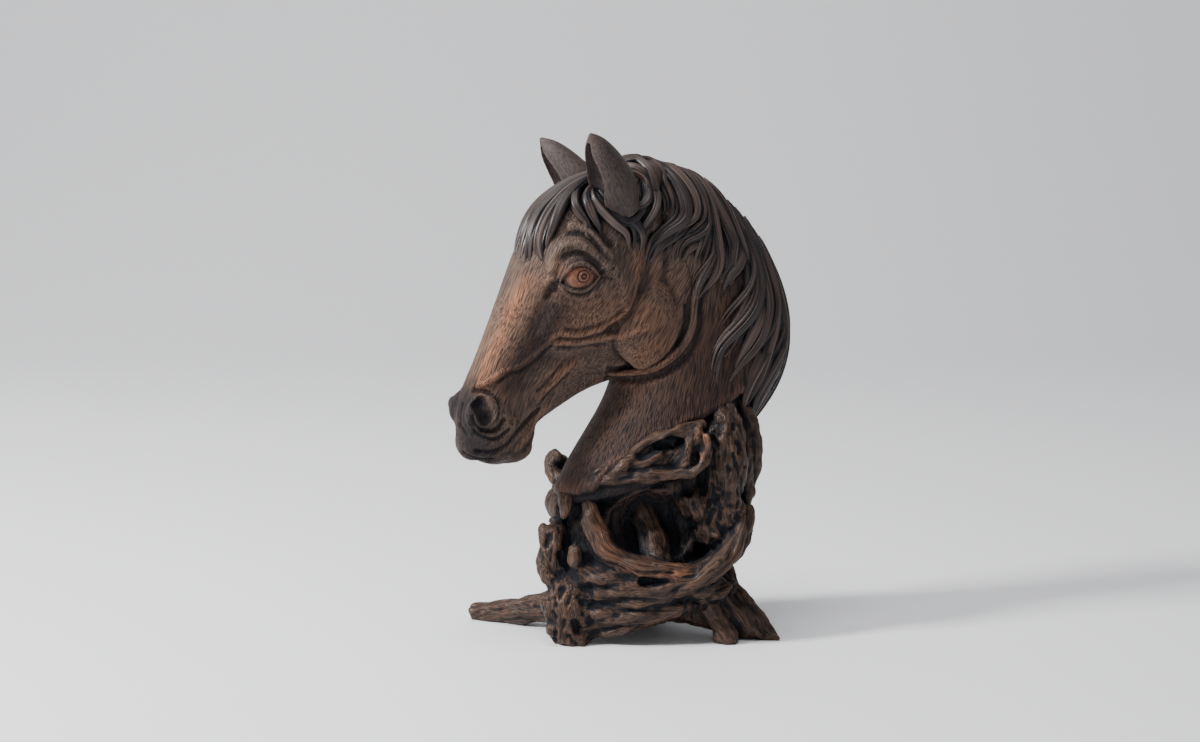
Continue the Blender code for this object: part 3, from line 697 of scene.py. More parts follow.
STRAND_SHAPE = (0.5, 0.85, 1.05, 1.12, 1.0, 0.72, 0.2)


def between(guides, place):
    """The path that lies this far across a fan of guide paths, counted in guides."""
    place = min(max(place, 0), len(guides) - 1)
    first = min(int(place), len(guides) - 2)
    one, two = (spline(guides[first + k], 24) for k in (0, 1))
    return one + (two - one) * (place - first)


def lock_path(guides, centre, across, swing, waves, start, run):
    """The path of one strand: beside its lock's middle line at the root, close to it at the tip, waved."""
    middle = between(guides, centre)
    beside = between(guides, centre + across)
    t = np.linspace(0, 1, len(middle))
    spread = (0.16 + 0.84 * (1 - t) ** 0.8)[:, None]
    path = middle + (beside - middle) * spread
    along = np.gradient(path, axis=0)
    sideways = along[:, [1, 0]] if path.shape[1] == 2 else along[:, [2, 0]]
    sideways = sideways * (1, -1) / np.maximum(np.linalg.norm(along, axis=1), 1e-6)[:, None]
    wave = (swing * t * np.sin(2 * math.pi * (waves * t + start)))[:, None] * sideways
    path[:, 0] += wave[:, 0]
    path[:, -1] += wave[:, 1]
    return path[: max(int(len(path) * run), 8)]


def hair_lock(guides, centre, side, dice, strands, radius, lift, dome, width, swing, run=1.0, uneven=1.1):
    """A bundle of strands about one place in the fan of guides."""
    pieces = []
    waves, start = dice.uniform(1.0, 1.6), dice.uniform(0, 1)
    dip = np.linspace(0, 1, LOCK_POINTS) ** 4
    for k in range(strands):
        u = (k + 0.5) / strands - 0.5 + dice.uniform(-0.04, 0.04)
        path = lock_path(
            guides, centre, u * width, swing, waves, start + 0.12 * u, run * dice.uniform(0.86, 1.0)
        )
        height = lift + dome * (1 - (2 * u) ** 2) + uneven * dice.uniform(-1, 1)
        laid = draped(path, skin, side, height - (height + 0.5) * dip, LOCK_POINTS)
        laid = evened(laid, PATH_ROUNDS)
        size = radius * dice.uniform(0.72, 1.28)
        pieces.append(strand("strand", laid, [size * r for r in STRAND_SHAPE], dice))
    return pieces


def mane(side):
    """All the locks on one side of the neck: an under layer, the main locks, and thin strands on top."""
    dice = random.Random(7 if side == NEAR else 8)
    pieces = []
    last = len(MANE_GUIDES) - 1
    for k in range(len(MANE_GUIDES)):
        pieces += hair_lock(MANE_GUIDES, k, side, dice, 3, 5.0, -2.2, 1.2, width=1.1, swing=1.2)
    for k in range(len(MANE_GUIDES)):
        pieces += hair_lock(MANE_GUIDES, k, side, dice, 5, 2.9, 0.4, 4.4, width=0.84, swing=6.5)
    for k in np.arange(0.5, last, 1.0):
        run = 0.62 if k in (4.5, 0.5) else 0.86
        pieces += hair_lock(MANE_GUIDES, k, side, dice, 4, 2.3, 2.4, 3.4, width=0.54, swing=8.0, run=run)
    if side == NEAR:
        for k in np.arange(0.2, last, 0.9):
            pieces += hair_lock(MANE_GUIDES, k, side, dice, 2, 1.7, 4.8, 0.8, width=0.28, swing=7.5, run=0.92)
    return joined("near_mane" if side == NEAR else "far_mane", pieces)


manes = [mane(NEAR), mane(FAR)]
print("mane points:", [len(one.data.vertices) for one in manes])

# %% [markdown]
# ## Fringe
#
# The fringe falls from between the ears over the forehead, and shorter locks curl round the root of each
# ear. They are drawn with all three coordinates where they cross the middle of the brow.

# %% Fringe
FRINGE_GUIDES = (
    ((-58, 8, 377), (-78, 14, 373), (-100, 16, 358), (-115, 14, 340), (-122, 10, 322), (-121, 4, 304)),
    ((-60, 2, 377), (-84, 5, 370), (-106, 5, 354), (-118, 2, 336), (-123, -2, 319), (-120, -5, 301)),
    ((-62, -4, 376), (-86, -4, 367), (-106, -6, 351), (-117, -9, 334), (-121, -12, 317), (-117, -14, 299)),
    ((-65, -8, 373), (-84, -10, 362), (-101, -14, 348), (-111, -17, 331), (-115, -20, 315), (-112, -22, 300)),
    ((-68, -11, 369), (-82, -15, 358), (-95, -20, 344), (-103, -24, 330), (-107, -27, 317), (-104, -29, 305)),
)
EAR_GUIDES = (
    ((-69, -14, 368), (-81, -16, 358), (-85, -22, 343), (-80, -27, 328), (-75, -30, 318)),
    ((-66, -17, 364), (-74, -21, 353), (-76, -26, 342), (-70, -30, 330), (-66, -33, 320)),
    ((-66, -22, 356), (-60, -28, 343), (-50, -33, 335), (-41, -36, 323), (-42, -37, 305)),
    ((-62, -24, 350), (-54, -31, 338), (-42, -34, 331), (-34, -36, 318), (-36, -37, 300)),
    ((-44, -34, 340), (-34, -33, 343), (-26, -32, 350), (-24, -29, 360), (-27, -25, 368)),
    ((-70, -22, 352), (-63, -30, 339), (-50, -35, 332), (-37, -36, 336), (-28, -33, 347), (-26, -28, 360)),
    ((-68, -18, 360), (-70, -24, 345), (-60, -32, 331), (-48, -36, 322), (-44, -37, 308)),
    ((-54, -6, 377), (-42, -14, 377), (-30, -21, 372), (-21, -26, 361), (-17, -29, 346), (-20, -32, 330)),
)


def fringe():
    """Locks over the forehead, and those that curl round the ears on both sides."""
    dice = random.Random(5)
    pieces = []
    for k in (0.3, 1.3, 2.3, 3.3):
        pieces += hair_lock(FRINGE_GUIDES, k, NEAR, dice, 3, 3.8, -1.0, 1.2, width=1.0, swing=0.6)
    for k, run in ((0, 1.0), (1, 0.94), (2.1, 1.0), (3.1, 0.98), (4, 0.9)):
        pieces += hair_lock(FRINGE_GUIDES, k, NEAR, dice, 5, 2.8, 1.4, 2.8, width=0.84, swing=3.4, run=run)
    for side in (NEAR, FAR):
        for k, guide in enumerate(EAR_GUIDES):
            guides = [
                [(x, -side * y, z) for x, y, z in guide],
                [(x + 3, -side * y, z + 4) for x, y, z in guide],
            ]
            pieces += hair_lock(guides, 0.5, side, dice, 4, 2.7, 1.8, 2.2, width=1.5, swing=1.2, uneven=0.3)
    return joined("fringe", pieces)


hair = [fringe()] + manes
for one in hair:
    welded(one)
bpy.data.objects.remove(hair_profile)
print("fringe points:", len(hair[0].data.vertices))

# %% [markdown]
# ## Grain of the coat
#
# Short strokes of hair cover the face and neck. Their direction is stored on the skin as grain marks: two
# numbers across the strokes and one along them. The materials stretch a noise by these marks, so the strokes
# follow the head along its length and the neck downwards, longer and coarser on the neck.

# %% Grain marks of the coat
JOWL_LINE = ((-60, 205), (-33, 214), (-8, 226), (4, 246), (9, 268), (8, 292), (-6, 330), (-20, 380))
# The way the hair runs, and how much finer or longer its strokes are than on the head.
HEAD_WAY = (Vector((-0.46, 0, -0.89)).normalized(), 1.0, 1.0)
NECK_WAY = (Vector((-0.24, 0, -0.97)).normalized(), 0.7, 0.6)


def coat_grain(obj):
    """Marks the direction of the hair, changing at the jowl's edge, bent a little so that it waves."""
    spots = places(obj)
    line = spline(JOWL_LINE, 60)
    order = np.argsort(line[:, 1])
    edge = np.interp(spots[:, 2], line[order, 1], line[order, 0])
    on_head = (spots[:, 0] < edge) & (spots[:, 2] > 150) & ~((spots[:, 2] < 215) & (spots[:, 0] > -75))
    marks = np.empty_like(spots)
    for chosen, (way, scale, run) in ((on_head, HEAD_WAY), (~on_head, NECK_WAY)):
        across = Vector((way.z, 0, -way.x))
        some = spots[chosen]
        bend = np.array([noise.noise(Vector(p) / 26) for p in some]) * 3.0
        marks[chosen, 0] = (some @ np.array(across) + bend) * scale
        marks[chosen, 1] = some[:, 1] * scale
        marks[chosen, 2] = some @ np.array(way) * run
    mark(obj, "grain", marks)
    return on_head


on_head = coat_grain(head)
grained(head, 0.2, 3.6, 30)
print("coat marks:", int(on_head.sum()), "points on the head")

# %% [markdown]
# ## Driftwood
#
# The trunk is a cage with deep hollows cut out of it. Around it lie limbs of twisted strands, a burl, patches
# of bark and the roots. All of them are fused, and grooves are carved along each limb's own run.

# %% Tables of the driftwood
WOOD_LEVELS = (0.06, 0.28, 0.5, 0.72, 0.94)
WOOD_SECTIONS = (
    ((-64, 8), (34, 18), (14, 24, 28, 24, 14)),
    ((-77, 22), (50, 30), (20, 33, 35, 31, 18)),
    ((-83, 48), (54, 50), (20, 36, 39, 35, 18)),
    ((-82, 75), (58, 75), (16, 35, 39, 36, 18)),
    ((-74, 104), (64, 104), (16, 36, 41, 36, 18)),
    ((-30, 140), (82, 140), (20, 36, 40, 34, 18)),
    ((20, 172), (80, 176), (14, 22, 26, 22, 12)),
)
# Name, strands, radii and path.
WOOD_LIMBS = (
    (
        "lip", 4, (5, 6, 6, 5.5, 5, 4.5),
        ((-24, -44, 130), (-7, -50, 135), (14, -53, 137), (36, -52, 138), (58, -50, 140)),
    ),
    (
        "rising_strand", 2, (5, 4.5, 4.5, 2.5),
        ((54, -50, 139), (65, -52, 146), (68, -50, 158), (67, -48, 172)),
    ),
    (
        "under_hem", 3, (5, 7, 8, 7, 5),
        ((-28, -42, 126), (-14, -47, 136), (4, -50, 145), (20, -50, 152), (34, -48, 156)),
    ),
    (
        "hem_branch", 3, (3.5, 5, 5.5, 5, 4),
        ((6, -48, 150), (20, -49, 160), (36, -47, 168), (52, -45, 173), (68, -42, 178)),
    ),
    ("hole_branch", 2, (6, 6, 5.5, 4), ((48, -47, 146), (55, -49, 156), (59, -47, 167), (62, -44, 176))),
    ("hem_fill", 1, (10, 12, 12, 10), ((-20, -36, 124), (4, -40, 134), (30, -40, 146), (58, -36, 158))),
    (
        "bowl_left", 4, (6, 7.5, 8.5, 8.5, 8, 7, 4),
        (
            (-24, -40, 118), (-21, -47, 103), (-15, -50, 89), (-4, -53, 76), (18, -55, 67), (46, -53, 63),
            (64, -46, 60),
        ),
    ),
    (
        "bowl_right", 4, (8, 9.5, 9.5, 9, 9, 9, 8),
        (
            (99, -20, 108), (96, -30, 91), (88, -38, 76), (72, -47, 63), (54, -51, 53), (28, -52, 46),
            (-20, -46, 46),
        ),
    ),
    (
        "tongue", 1, (13, 15, 14, 12, 8),
        ((4, -6, 128), (15, -11, 107), (24, -21, 87), (32, -37, 67), (38, -46, 56)),
    ),
    ("bowl_under", 1, (8, 10, 10, 9), ((-14, -41, 84), (0, -43, 69), (24, -44, 58), (52, -42, 56))),
    ("bowl_right_under", 1, (8, 10, 10), ((91, -20, 86), (81, -29, 68), (62, -36, 56))),
    ("low_limb_1", 3, (8, 8, 7, 4), ((-22, -44, 40), (7, -49, 38), (34, -50, 37), (54, -49, 34))),
    ("low_limb_2", 3, (8, 8, 4), ((-21, -45, 27), (15, -48, 27), (50, -48, 32))),
    ("low_limb_3", 3, (9, 8, 6, 5), ((-24, -38, 15), (3, -43, 19), (34, -43, 27), (61, -42, 36))),
    ("base_left", 3, (8, 9, 9, 8), ((-30, -42, 62), (-18, -46, 58), (0, -50, 55), (20, -52, 55))),
    ("base_right", 3, (8, 9, 9, 7), ((30, -48, 52), (54, -44, 48), (72, -36, 44), (86, -24, 46))),
    (
        "column", 4, (7, 13, 15, 15, 14, 11),
        ((80, -12, 189), (83, -24, 174), (84, -29, 157), (84, -30, 133), (84, -28, 113), (88, -26, 93)),
    ),
    (
        "mane_edge", 3, (6, 9, 10, 10, 10, 9, 9),
        (
            (92, -2, 192), (101, -5, 174), (103, -4, 152), (100, -4, 122), (93, -6, 102), (88, -8, 82),
            (80, -12, 60),
        ),
    ),
    ("left_slab", 3, (8, 10, 11, 11), ((-52, -26, 92), (-53, -28, 79), (-51, -30, 60), (-46, -32, 44))),
    ("small_knot", 1, (5, 6.5, 5.5), ((-34, -46, 82), (-33, -47, 74), (-35, -46, 66))),
    ("chip", 1, (8, 6, 3), ((-40, -38, 122), (-41, -42, 110), (-42, -41, 101))),
    (
        "left_root", 1, (24, 19, 13.5, 10.5, 8.8, 8.0),
        ((-16, 0, 36), (-34, 4, 27), (-54, 12, 20), (-80, 26, 13), (-108, 41, 8), (-118, 46, 7)),
    ),
    ("right_root", 1, (26, 20, 12.5, 5.5), ((54, -8, 36), (80, -14, 26), (102, -21, 13), (121, -27, 4))),
    (
        "right_ridge", 2, (9, 9, 7, 5, 3),
        ((82, -6, 56), (93, -12, 38), (106, -18, 22), (120, -26, 7), (127, -28, 3)),
    ),
    ("root_rib", 1, (5, 5, 4, 2.5), ((70, -24, 50), (84, -29, 33), (98, -30, 17), (110, -31, 6))),
    ("inner_root", 1, (13, 10, 7.5), ((66, -24, 42), (76, -32, 25), (87, -38, 6))),
    ("back_root", 3, (24, 16, 10, 7), ((14, 12, 34), (22, 34, 18), (30, 56, 8), (34, 66, 6))),
    ("far_stub", 2, (12, 10, 8, 4), ((-42, 24, 112), (-49, 29, 126), (-50, 31, 137), (-49, 31, 144))),
    (
        "far_limb_1", 4, (9, 10, 9, 10, 10),
        ((-48, 12, 90), (-28, 38, 74), (10, 46, 58), (50, 42, 63), (82, 24, 90)),
    ),
    ("far_limb_2", 3, (10, 10, 10, 9), ((-40, 16, 46), (-14, 38, 34), (26, 43, 34), (58, 30, 44))),
    ("far_limb_3", 4, (9, 9, 9, 8), ((-40, 10, 112), (-6, 39, 118), (40, 47, 134), (80, 38, 160))),
)
# Name, centre, radii, lumps and their size.
WOOD_MASSES = (
    ("burl", (-38, -38, 29), (20, 17, 28), 18, 7),
    ("burl_foot", (-36, -38, 8), (16, 14, 9), 4, 6),
    ("root_foot", (84, -37, 8), (11, 9, 9), 0, 0),
    ("bark_upper", (82, -32, 152), (15, 13, 24), 14, 5),
    ("bark_lower", (80, -30, 112), (14, 13, 18), 10, 5),
    ("inner_bark", (63, -29, 112), (17, 12, 15), 10, 5.5),
    ("inner_bark_low", (73, -27, 92), (15, 12, 16), 6, 5),
    ("neck_socket", (-34, 0, 106), (24, 24, 18), 0, 0),
    ("left_bark", (-47, -20, 74), (12, 16, 22), 8, 6),
    ("edge_knob_1", (107, -2, 146), (6, 8, 9), 3, 4),
    ("edge_knob_2", (101, -6, 120), (7, 8, 8), 3, 4),
    ("far_burl", (40, 37, 96), (22, 12, 20), 14, 6.5),
    ("far_bark", (86, 24, 130), (14, 16, 26), 10, 6),
)
WOOD_HOLLOWS = (
    ((32, -52, 96), (42, 36, 30), (0, 8, 0)),
    ((-34, -52, 90), (15, 22, 22), (0, 0, 0)),
    ((10, 56, 84), (34, 24, 26), (0, -12, 0)),
)

# %% Driftwood masses


def frames(path):
    """For each point of a path: the way along it and two ways across it."""
    along = np.gradient(path, axis=0)
    along /= np.linalg.norm(along, axis=1)[:, None]
    across = np.cross(along, (0, 1, 0))
    across /= np.maximum(np.linalg.norm(across, axis=1), 1e-6)[:, None]
    return along, across, np.cross(across, along)


def twisted(name, strands, radii, points):
    """A limb of strands that wind slowly about its path, or one round rod for a single strand."""
    if strands == 1:
        return [limb(name, points, radii)]
    path = spline(points, 5 * len(points))
    thick = numbers(radii, len(path))
    _, across, out = frames(path)
    pieces = []
    for k in range(strands):
        angle = 2 * math.pi * (k / strands + np.linspace(0.1, 0.8, len(path)))
        wander = across * np.cos(angle)[:, None] + out * np.sin(angle)[:, None]
        wound = path + wander * (0.56 * thick)[:, None]
        pieces.append(limb(name, wound[::2], (0.66 - 0.03 * strands) * thick[::2]))
    return pieces


def lumps(name, dice, centre, radii, count, size):
    """Rough swellings scattered over an ellipsoid."""
    pieces = []
    for _ in range(count):
        around, up = dice.uniform(0, 2 * math.pi), dice.uniform(-0.9, 0.9)
        out = math.sqrt(1 - up * up)
        way = (out * math.cos(around), out * math.sin(around), up)
        spot = [c + 0.85 * r * w for c, r, w in zip(centre, radii, way)]
        pieces.append(ball(name, spot, [size * dice.uniform(0.7, 1.2) for _ in range(3)], detail=3))
    return pieces


WOOD_FIRST_GRAIN = 1.9
WOOD_GRAIN = 1.42
dice = random.Random(11)
trunk = moved(cage("trunk", WOOD_SECTIONS, WOOD_LEVELS, 12), TURN)
for centre, radii, turn in WOOD_HOLLOWS:
    hollow = ball("hollow", centre, radii, turn)
    apply(trunk, "BOOLEAN", operation="DIFFERENCE", object=hollow)
    bpy.data.objects.remove(hollow)
wood_parts = [trunk]
for row in WOOD_LIMBS:
    wood_parts += twisted(*row)
for name, centre, radii, count, size in WOOD_MASSES:
    wood_parts.append(ball(name, centre, radii))
    wood_parts += lumps(name, dice, centre, radii, count, size)
wood = fused("driftwood", wood_parts, WOOD_FIRST_GRAIN, 8)
wood = fused("driftwood", [wood], WOOD_GRAIN, 1)
print("driftwood:", len(wood_parts), "masses,", len(wood.data.vertices), "points")

# %% Grain marks of the driftwood
# Depth, width and length of the grooves.
WOOD_GROOVES = ((1.05, 8.5, 90), (0.55, 3.8, 70), (0.30, 2.2, 50))
WOOD_SWELL = 1.8
# Blender's vector noise starts from the clock unless it is given a seed.
DRIFT_SEED = 5


def wood_grain(obj):
    """Marks each point with its place across and along the nearest limb, or upright on the trunk."""
    spots = places(obj)
    noise.seed_set(DRIFT_SEED)
    samples = []
    for row, (name, strands, radii, points) in enumerate(WOOD_LIMBS):
        path = spline(points, 60)
        along, across, out = frames(path)
        run = np.concatenate([[0], np.cumsum(np.linalg.norm(np.diff(path, axis=0), axis=1))])
        thick = numbers(radii, 60)
        samples += list(zip(path, along, across, out, run + 300 * row, thick))
    tree = KDTree(len(samples))
    for k, sample in enumerate(samples):
        tree.insert(sample[0], k)
    tree.balance()
    marks = np.empty_like(spots)
    for n, spot in enumerate(spots):
        _, k, away = tree.find(spot)
        centre, along, across, out, run, thick = samples[k]
        drift = noise.noise_vector(Vector(spot) / 17) * 3.2
        if away > 1.6 * thick:
            marks[n] = (spot[0] + drift.x, spot[1] + drift.y, spot[2] + 900)
        else:
            off = spot - centre
            marks[n] = (off @ across + drift.x, off @ out + drift.y, run + off @ along)
    mark(obj, "grain", marks)


def weathered(obj):
    """Slow swellings, then long grooves at three sizes."""
    spots = places(obj)
    swell = np.array([noise.noise(Vector(p) / 16) + 0.5 * noise.noise(Vector(p) / 7) for p in spots])
    put_places(obj, spots + outward(obj) * (swell * WOOD_SWELL)[:, None])
    for depth, wide, long in WOOD_GROOVES:
        grained(obj, depth, wide, long)


wood_grain(wood)
weathered(wood)
print("driftwood grooves carved")

# %% [markdown]
# ## Where the coat meets the wood
#
# The coat ends in a ragged hem that stands out over the wood like a thin crust. Below the hem the neck is
# sunk and takes the wood's stain. Knot holes break the burl.

# %% Hem and knot holes
moved(head, TURN)
for one in ears + eyes + hair:
    moved(one, TURN)
WOOD_STROKES = (
    (((18, 155), (32, 162), (45, 164)), 7, -5.0),
    (((-34, 22), (-31, 15)), 5.5, -4.0),
    (((-46, 42), (-43, 48)), 4.5, -3.5),
    (((-30, 42), (-27, 37)), 4.5, -3.0),
)
# Centre and half size of a field of pits, and how many lie in it.
PIT_FIELDS = (
    ((-38, 31), (17, 26), 13),
    ((84, 140), (13, 38), 22),
    ((64, 108), (17, 20), 13),
    ((-46, 84), (8, 20), 5),
)
wood_skin = skin_of(wood)
for path, radius, depth in WOOD_STROKES:
    carved(wood, draped(path, wood_skin, NEAR), radius, depth)
dice = random.Random(21)
for (x, z), (wide, high), count in PIT_FIELDS:
    for _ in range(count):
        top = (x + dice.uniform(-wide, wide), z + dice.uniform(-high, high))
        low = (top[0] + dice.uniform(-3, 3), top[1] - dice.uniform(2, 9))
        pit = draped((top, low), wood_skin, NEAR, count=5)
        carved(wood, pit, dice.uniform(2.6, 4.2), -dice.uniform(0.9, 2.3))
print("pits:", sum(count for _, _, count in PIT_FIELDS))

HEM = ((-50, 122), (-38, 124), (-22, 126), (-10, 139), (15, 152), (40, 168), (62, 177), (78, 184), (94, 192))
HEM_STEPS = 60
HEM_TEETH = ((18, 2.2), (40, 0.9))
HEM_WIDTH = 3.0
CRUST_HEIGHT = 1.3
NECK_SUNK = 4.2
hem = draped(HEM, skin_of(head), NEAR, count=HEM_STEPS)
dice = random.Random(3)
for teeth, reach in HEM_TEETH:
    hem[:, 2] += numbers([dice.uniform(-reach, reach) for _ in range(teeth)], HEM_STEPS)
spots = places(head)
edge_height = np.interp(spots[:, 0], hem[:, 0], hem[:, 2], left=hem[0, 2], right=hem[-1, 2] + 2)
under = np.clip((edge_height - spots[:, 2]) / HEM_WIDTH, 0, 1)
under = under * under * (3 - 2 * under)
above = np.clip(1 - np.abs(spots[:, 2] - edge_height - 4) / 6, 0, 1)
put_places(head, spots + outward(head) * (CRUST_HEIGHT * above - NECK_SUNK * under)[:, None])
mark(head, "bark", under)
print("hem carved:", int((under > 0.5).sum()), "points of the neck lie under it")

# %% Feet
BOX_MARGIN = 0.002
everything = [head, wood] + ears + eyes + hair
for one in everything:
    moved(one, STAND)


def kept_in_box(obj):
    """Brings points outside the frame's box or under the ground back to it, so that the feet are flat."""
    low = np.array(LOW) - (BOX_MARGIN, BOX_MARGIN, 0)
    high = np.array(HIGH) + BOX_MARGIN
    put_places(obj, np.clip(places(obj) * UNIT, low, high) / UNIT)


for one in everything:
    kept_in_box(one)
print("standing on the ground")

# %% [markdown]
# ## Marks for the stain and for painted shade
#
# A stain darkens the grooves, and rubbing it back lightens the ridges; the lighter ridges are partly a
# painted highlight. How far each point stands out from its surroundings is measured by smoothing a copy of
# the mesh.
# How deep it lies in a hollow is measured by looking out from it in many directions and counting those that
# some piece blocks nearby; this is painted as shade, black in hollows and in the gaps between pieces.

# %% Ridges, grooves and hollows
FINE_ROUNDS = 3
BROAD_ROUNDS = 22
LOOK_OUT = 16
LOOK_FAR = 34
LOOK_FROM = 0.7
HAIR_LOOK = (2.2, 12)
OTHER_LOOK = (2.6, 4)


def eased(obj, values, rounds, share=0.7):
    """The values, in columns or in one row, drawn again and again towards their neighbours' mean."""
    edges = np.empty(len(obj.data.edges) * 2, int)
    obj.data.edges.foreach_get("vertices", edges)
    a, b = edges.reshape(-1, 2).T
    size = len(values)
    count = np.maximum(np.bincount(a, minlength=size) + np.bincount(b, minlength=size), 1)
    columns = list(np.atleast_2d(values.T).astype(float))
    for _ in range(rounds):
        for k, column in enumerate(columns):
            total = np.bincount(a, column[b], size) + np.bincount(b, column[a], size)
            columns[k] = (1 - share) * column + share * total / count
    return np.stack(columns, 1) if values.ndim == 2 else columns[0]


def standing_out(obj, rounds):
    """How far each point stands above its smoothed surroundings, in carving units."""
    spots = places(obj)
    return ((spots - eased(obj, spots, rounds, 0.65)) * outward(obj)).sum(1)


def surface_of(objects):
    """One surface made of all the pieces, for looking out from any of them."""
    corners, faces, start = [], [], 0
    for obj in objects:
        spots = places(obj) * UNIT
        corners.append(spots)
        obj.data.calc_loop_triangles()
        rows = np.empty(len(obj.data.loop_triangles) * 3, int)
        obj.data.loop_triangles.foreach_get("vertices", rows)
        faces.append(rows.reshape(-1, 3) + start)
        start += len(spots)
    return BVHTree.FromPolygons(np.vstack(corners).tolist(), np.vstack(faces).tolist(), all_triangles=True)


def blocked_view_shade(obj, surface, cell):
    """The share of the directions in front of each point that something blocks, near things counting most,
    for painted shade.

    Points of one small cell that face the same way share one measurement.
    """
    spots, ways = places(obj) * UNIT, outward(obj)
    cells = np.round(spots / (cell * UNIT)).astype(np.int64) + 1024
    facing = np.round(ways).astype(np.int64) + 1
    keys = cells @ np.array([1, 4096, 4096 * 4096]) * 27 + facing @ np.array([1, 3, 9])
    _, first, cell_of = np.unique(keys, return_index=True, return_inverse=True)
    turns = np.arange(LOOK_OUT) + 0.5
    rise = 1 - 0.9 * turns / LOOK_OUT
    spin = turns * math.pi * (3 - math.sqrt(5))
    fan = np.stack([np.sqrt(1 - rise**2) * np.cos(spin), np.sqrt(1 - rise**2) * np.sin(spin), rise], 1)
    fan = [Vector(look) for look in fan]
    blocked = np.empty(len(first))
    for n, k in enumerate(first):
        way = Vector(ways[k])
        turn = way.to_track_quat("Z", "Y").to_matrix()
        start = Vector(spots[k]) + way * LOOK_FROM * UNIT
        hits = [surface.ray_cast(start, turn @ look, LOOK_FAR * UNIT)[3] for look in fan]
        near = [1 - away / (LOOK_FAR * UNIT) for away in hits if away is not None]
        blocked[n] = sum(0.35 + 0.65 * share for share in near) / LOOK_OUT
    return blocked[cell_of.reshape(-1)]


all_around = surface_of(everything)
for one in everything:
    mark(one, "fine", standing_out(one, FINE_ROUNDS))
    mark(one, "broad", standing_out(one, BROAD_ROUNDS))
    cell, rounds = HAIR_LOOK if one in hair else OTHER_LOOK
    mark(one, "hollow", eased(one, blocked_view_shade(one, all_around, cell), rounds))
    choose(one)
    bpy.ops.object.shade_smooth()
print("marks stored on", [one.name for one in everything])

# %% Where the stain is warm, where it is rubbed back to orange, and where it is darker in tone or painted with shade


def turned(path, side, carved_skin):
    """A path drawn on the head in its own plane, laid on the standing piece's skin."""
    laid = []
    for x, z in spline(path, 24):
        start = STAND @ TURN @ (Vector((x, side * 120, z)) * UNIT)
        way = TURN.to_3x3() @ Vector((0, -side, 0))
        spot = carved_skin.ray_cast(start, way)[0]
        if spot is None:
            spot = carved_skin.find_nearest(STAND @ TURN @ (Vector((x, side * 8, z)) * UNIT))[0]
        laid.append(list(spot / UNIT))
    return np.array(laid)


GLOW_PATHS = (
    (((-124, 290), (-138, 259), (-152, 228), (-160, 209)), 9, 0.8),
    (((-108, 272), (-122, 246), (-136, 224)), 18, 0.05),
    (((-160, 210), (-150, 217), (-142, 222)), 7, 0.7),
    (((-130, 225), (-115, 235), (-101, 248)), 4, 0.3),
    (((-99, 248), (-69, 250), (-55, 256), (-44, 265), (-37, 280)), 5, 0.25),
    (((-99, 242), (-71, 243), (-50, 245), (-30, 252)), 5, 0.3),
    (((-111, 198), (-98, 211), (-86, 224)), 5, 0.35),
    (((-128, 162), (-114, 177), (-102, 191)), 5, 0.4),
    (((-104, 301), (-96, 296), (-88, 294), (-76, 294)), 10, 0.4),
    (((-36, 288), (-33, 310), (-38, 330)), 8, 0.25),
    (((11, 262), (6, 240), (-12, 223), (-44, 214)), 6, 0.3),
    (((44, 250), (20, 200), (-10, 160), (-40, 132)), 46, 0.30),
    (((-30, 262), (-14, 246), (-30, 232)), 16, 0.2),
)
WARM_PATHS = (
    (((-124, 284), (-142, 252), (-156, 218)), 40, 1.0),
    (((-128, 270), (-134, 236), (-140, 214)), 34, 1.0),
    (((-20, 230), (-46, 190), (-84, 140)), 40, 1.0),
    (((-100, 262), (-66, 260), (-34, 262)), 48, 0.8),
    (((-30, 300), (-10, 280), (0, 250)), 34, 0.7),
    (((-120, 200), (-100, 214), (-84, 226)), 22, 0.6),
    (((40, 240), (0, 190), (-40, 140)), 66, 1.0),
)
# Darker tone and painted shade on the head, each a path, its radius and its share.
SHADE_PATHS = (
    # Darker tone on the muzzle and the chin.
    (((-172, 200), (-168, 175), (-158, 156)), 34, 1.0),
    (((-150, 158), (-128, 156)), 22, 0.6),
    # Painted shade on the neck and down its front.
    (((60, 260), (24, 204), (-30, 150), (-70, 120)), 80, 0.92),
    (((-46, 192), (-78, 146), (-94, 120)), 36, 0.8),
    # Painted shade on the side plane of the nose.
    (((-106, 266), (-122, 236), (-134, 214)), 26, 0.85),
    # Darker skin round the eye, with painted shade under the brow.
    (((-104, 290), (-98, 301), (-89, 306), (-78, 303), (-68, 294)), 7, 0.6),
    (((-104, 290), (-96, 283), (-86, 280), (-76, 284), (-68, 294)), 5, 0.5),
    # Painted shade in the fold over the brow and in the hollow of the temple.
    (((-93, 325), (-84, 325), (-76, 321), (-66, 310)), 6, 0.5),
    (((-70, 334), (-58, 318), (-48, 300)), 14, 0.4),
)
head_skin = skin_of(head)
spots = places(head)


def painted(paths):
    """The strongest of the strokes at each point of the head, on both sides."""
    strokes = [(turned(path, side, head_skin), *rest) for side in (NEAR, FAR) for path, *rest in paths]
    return np.max([share * nearness(spots, laid, radius) for laid, radius, share in strokes], axis=0)


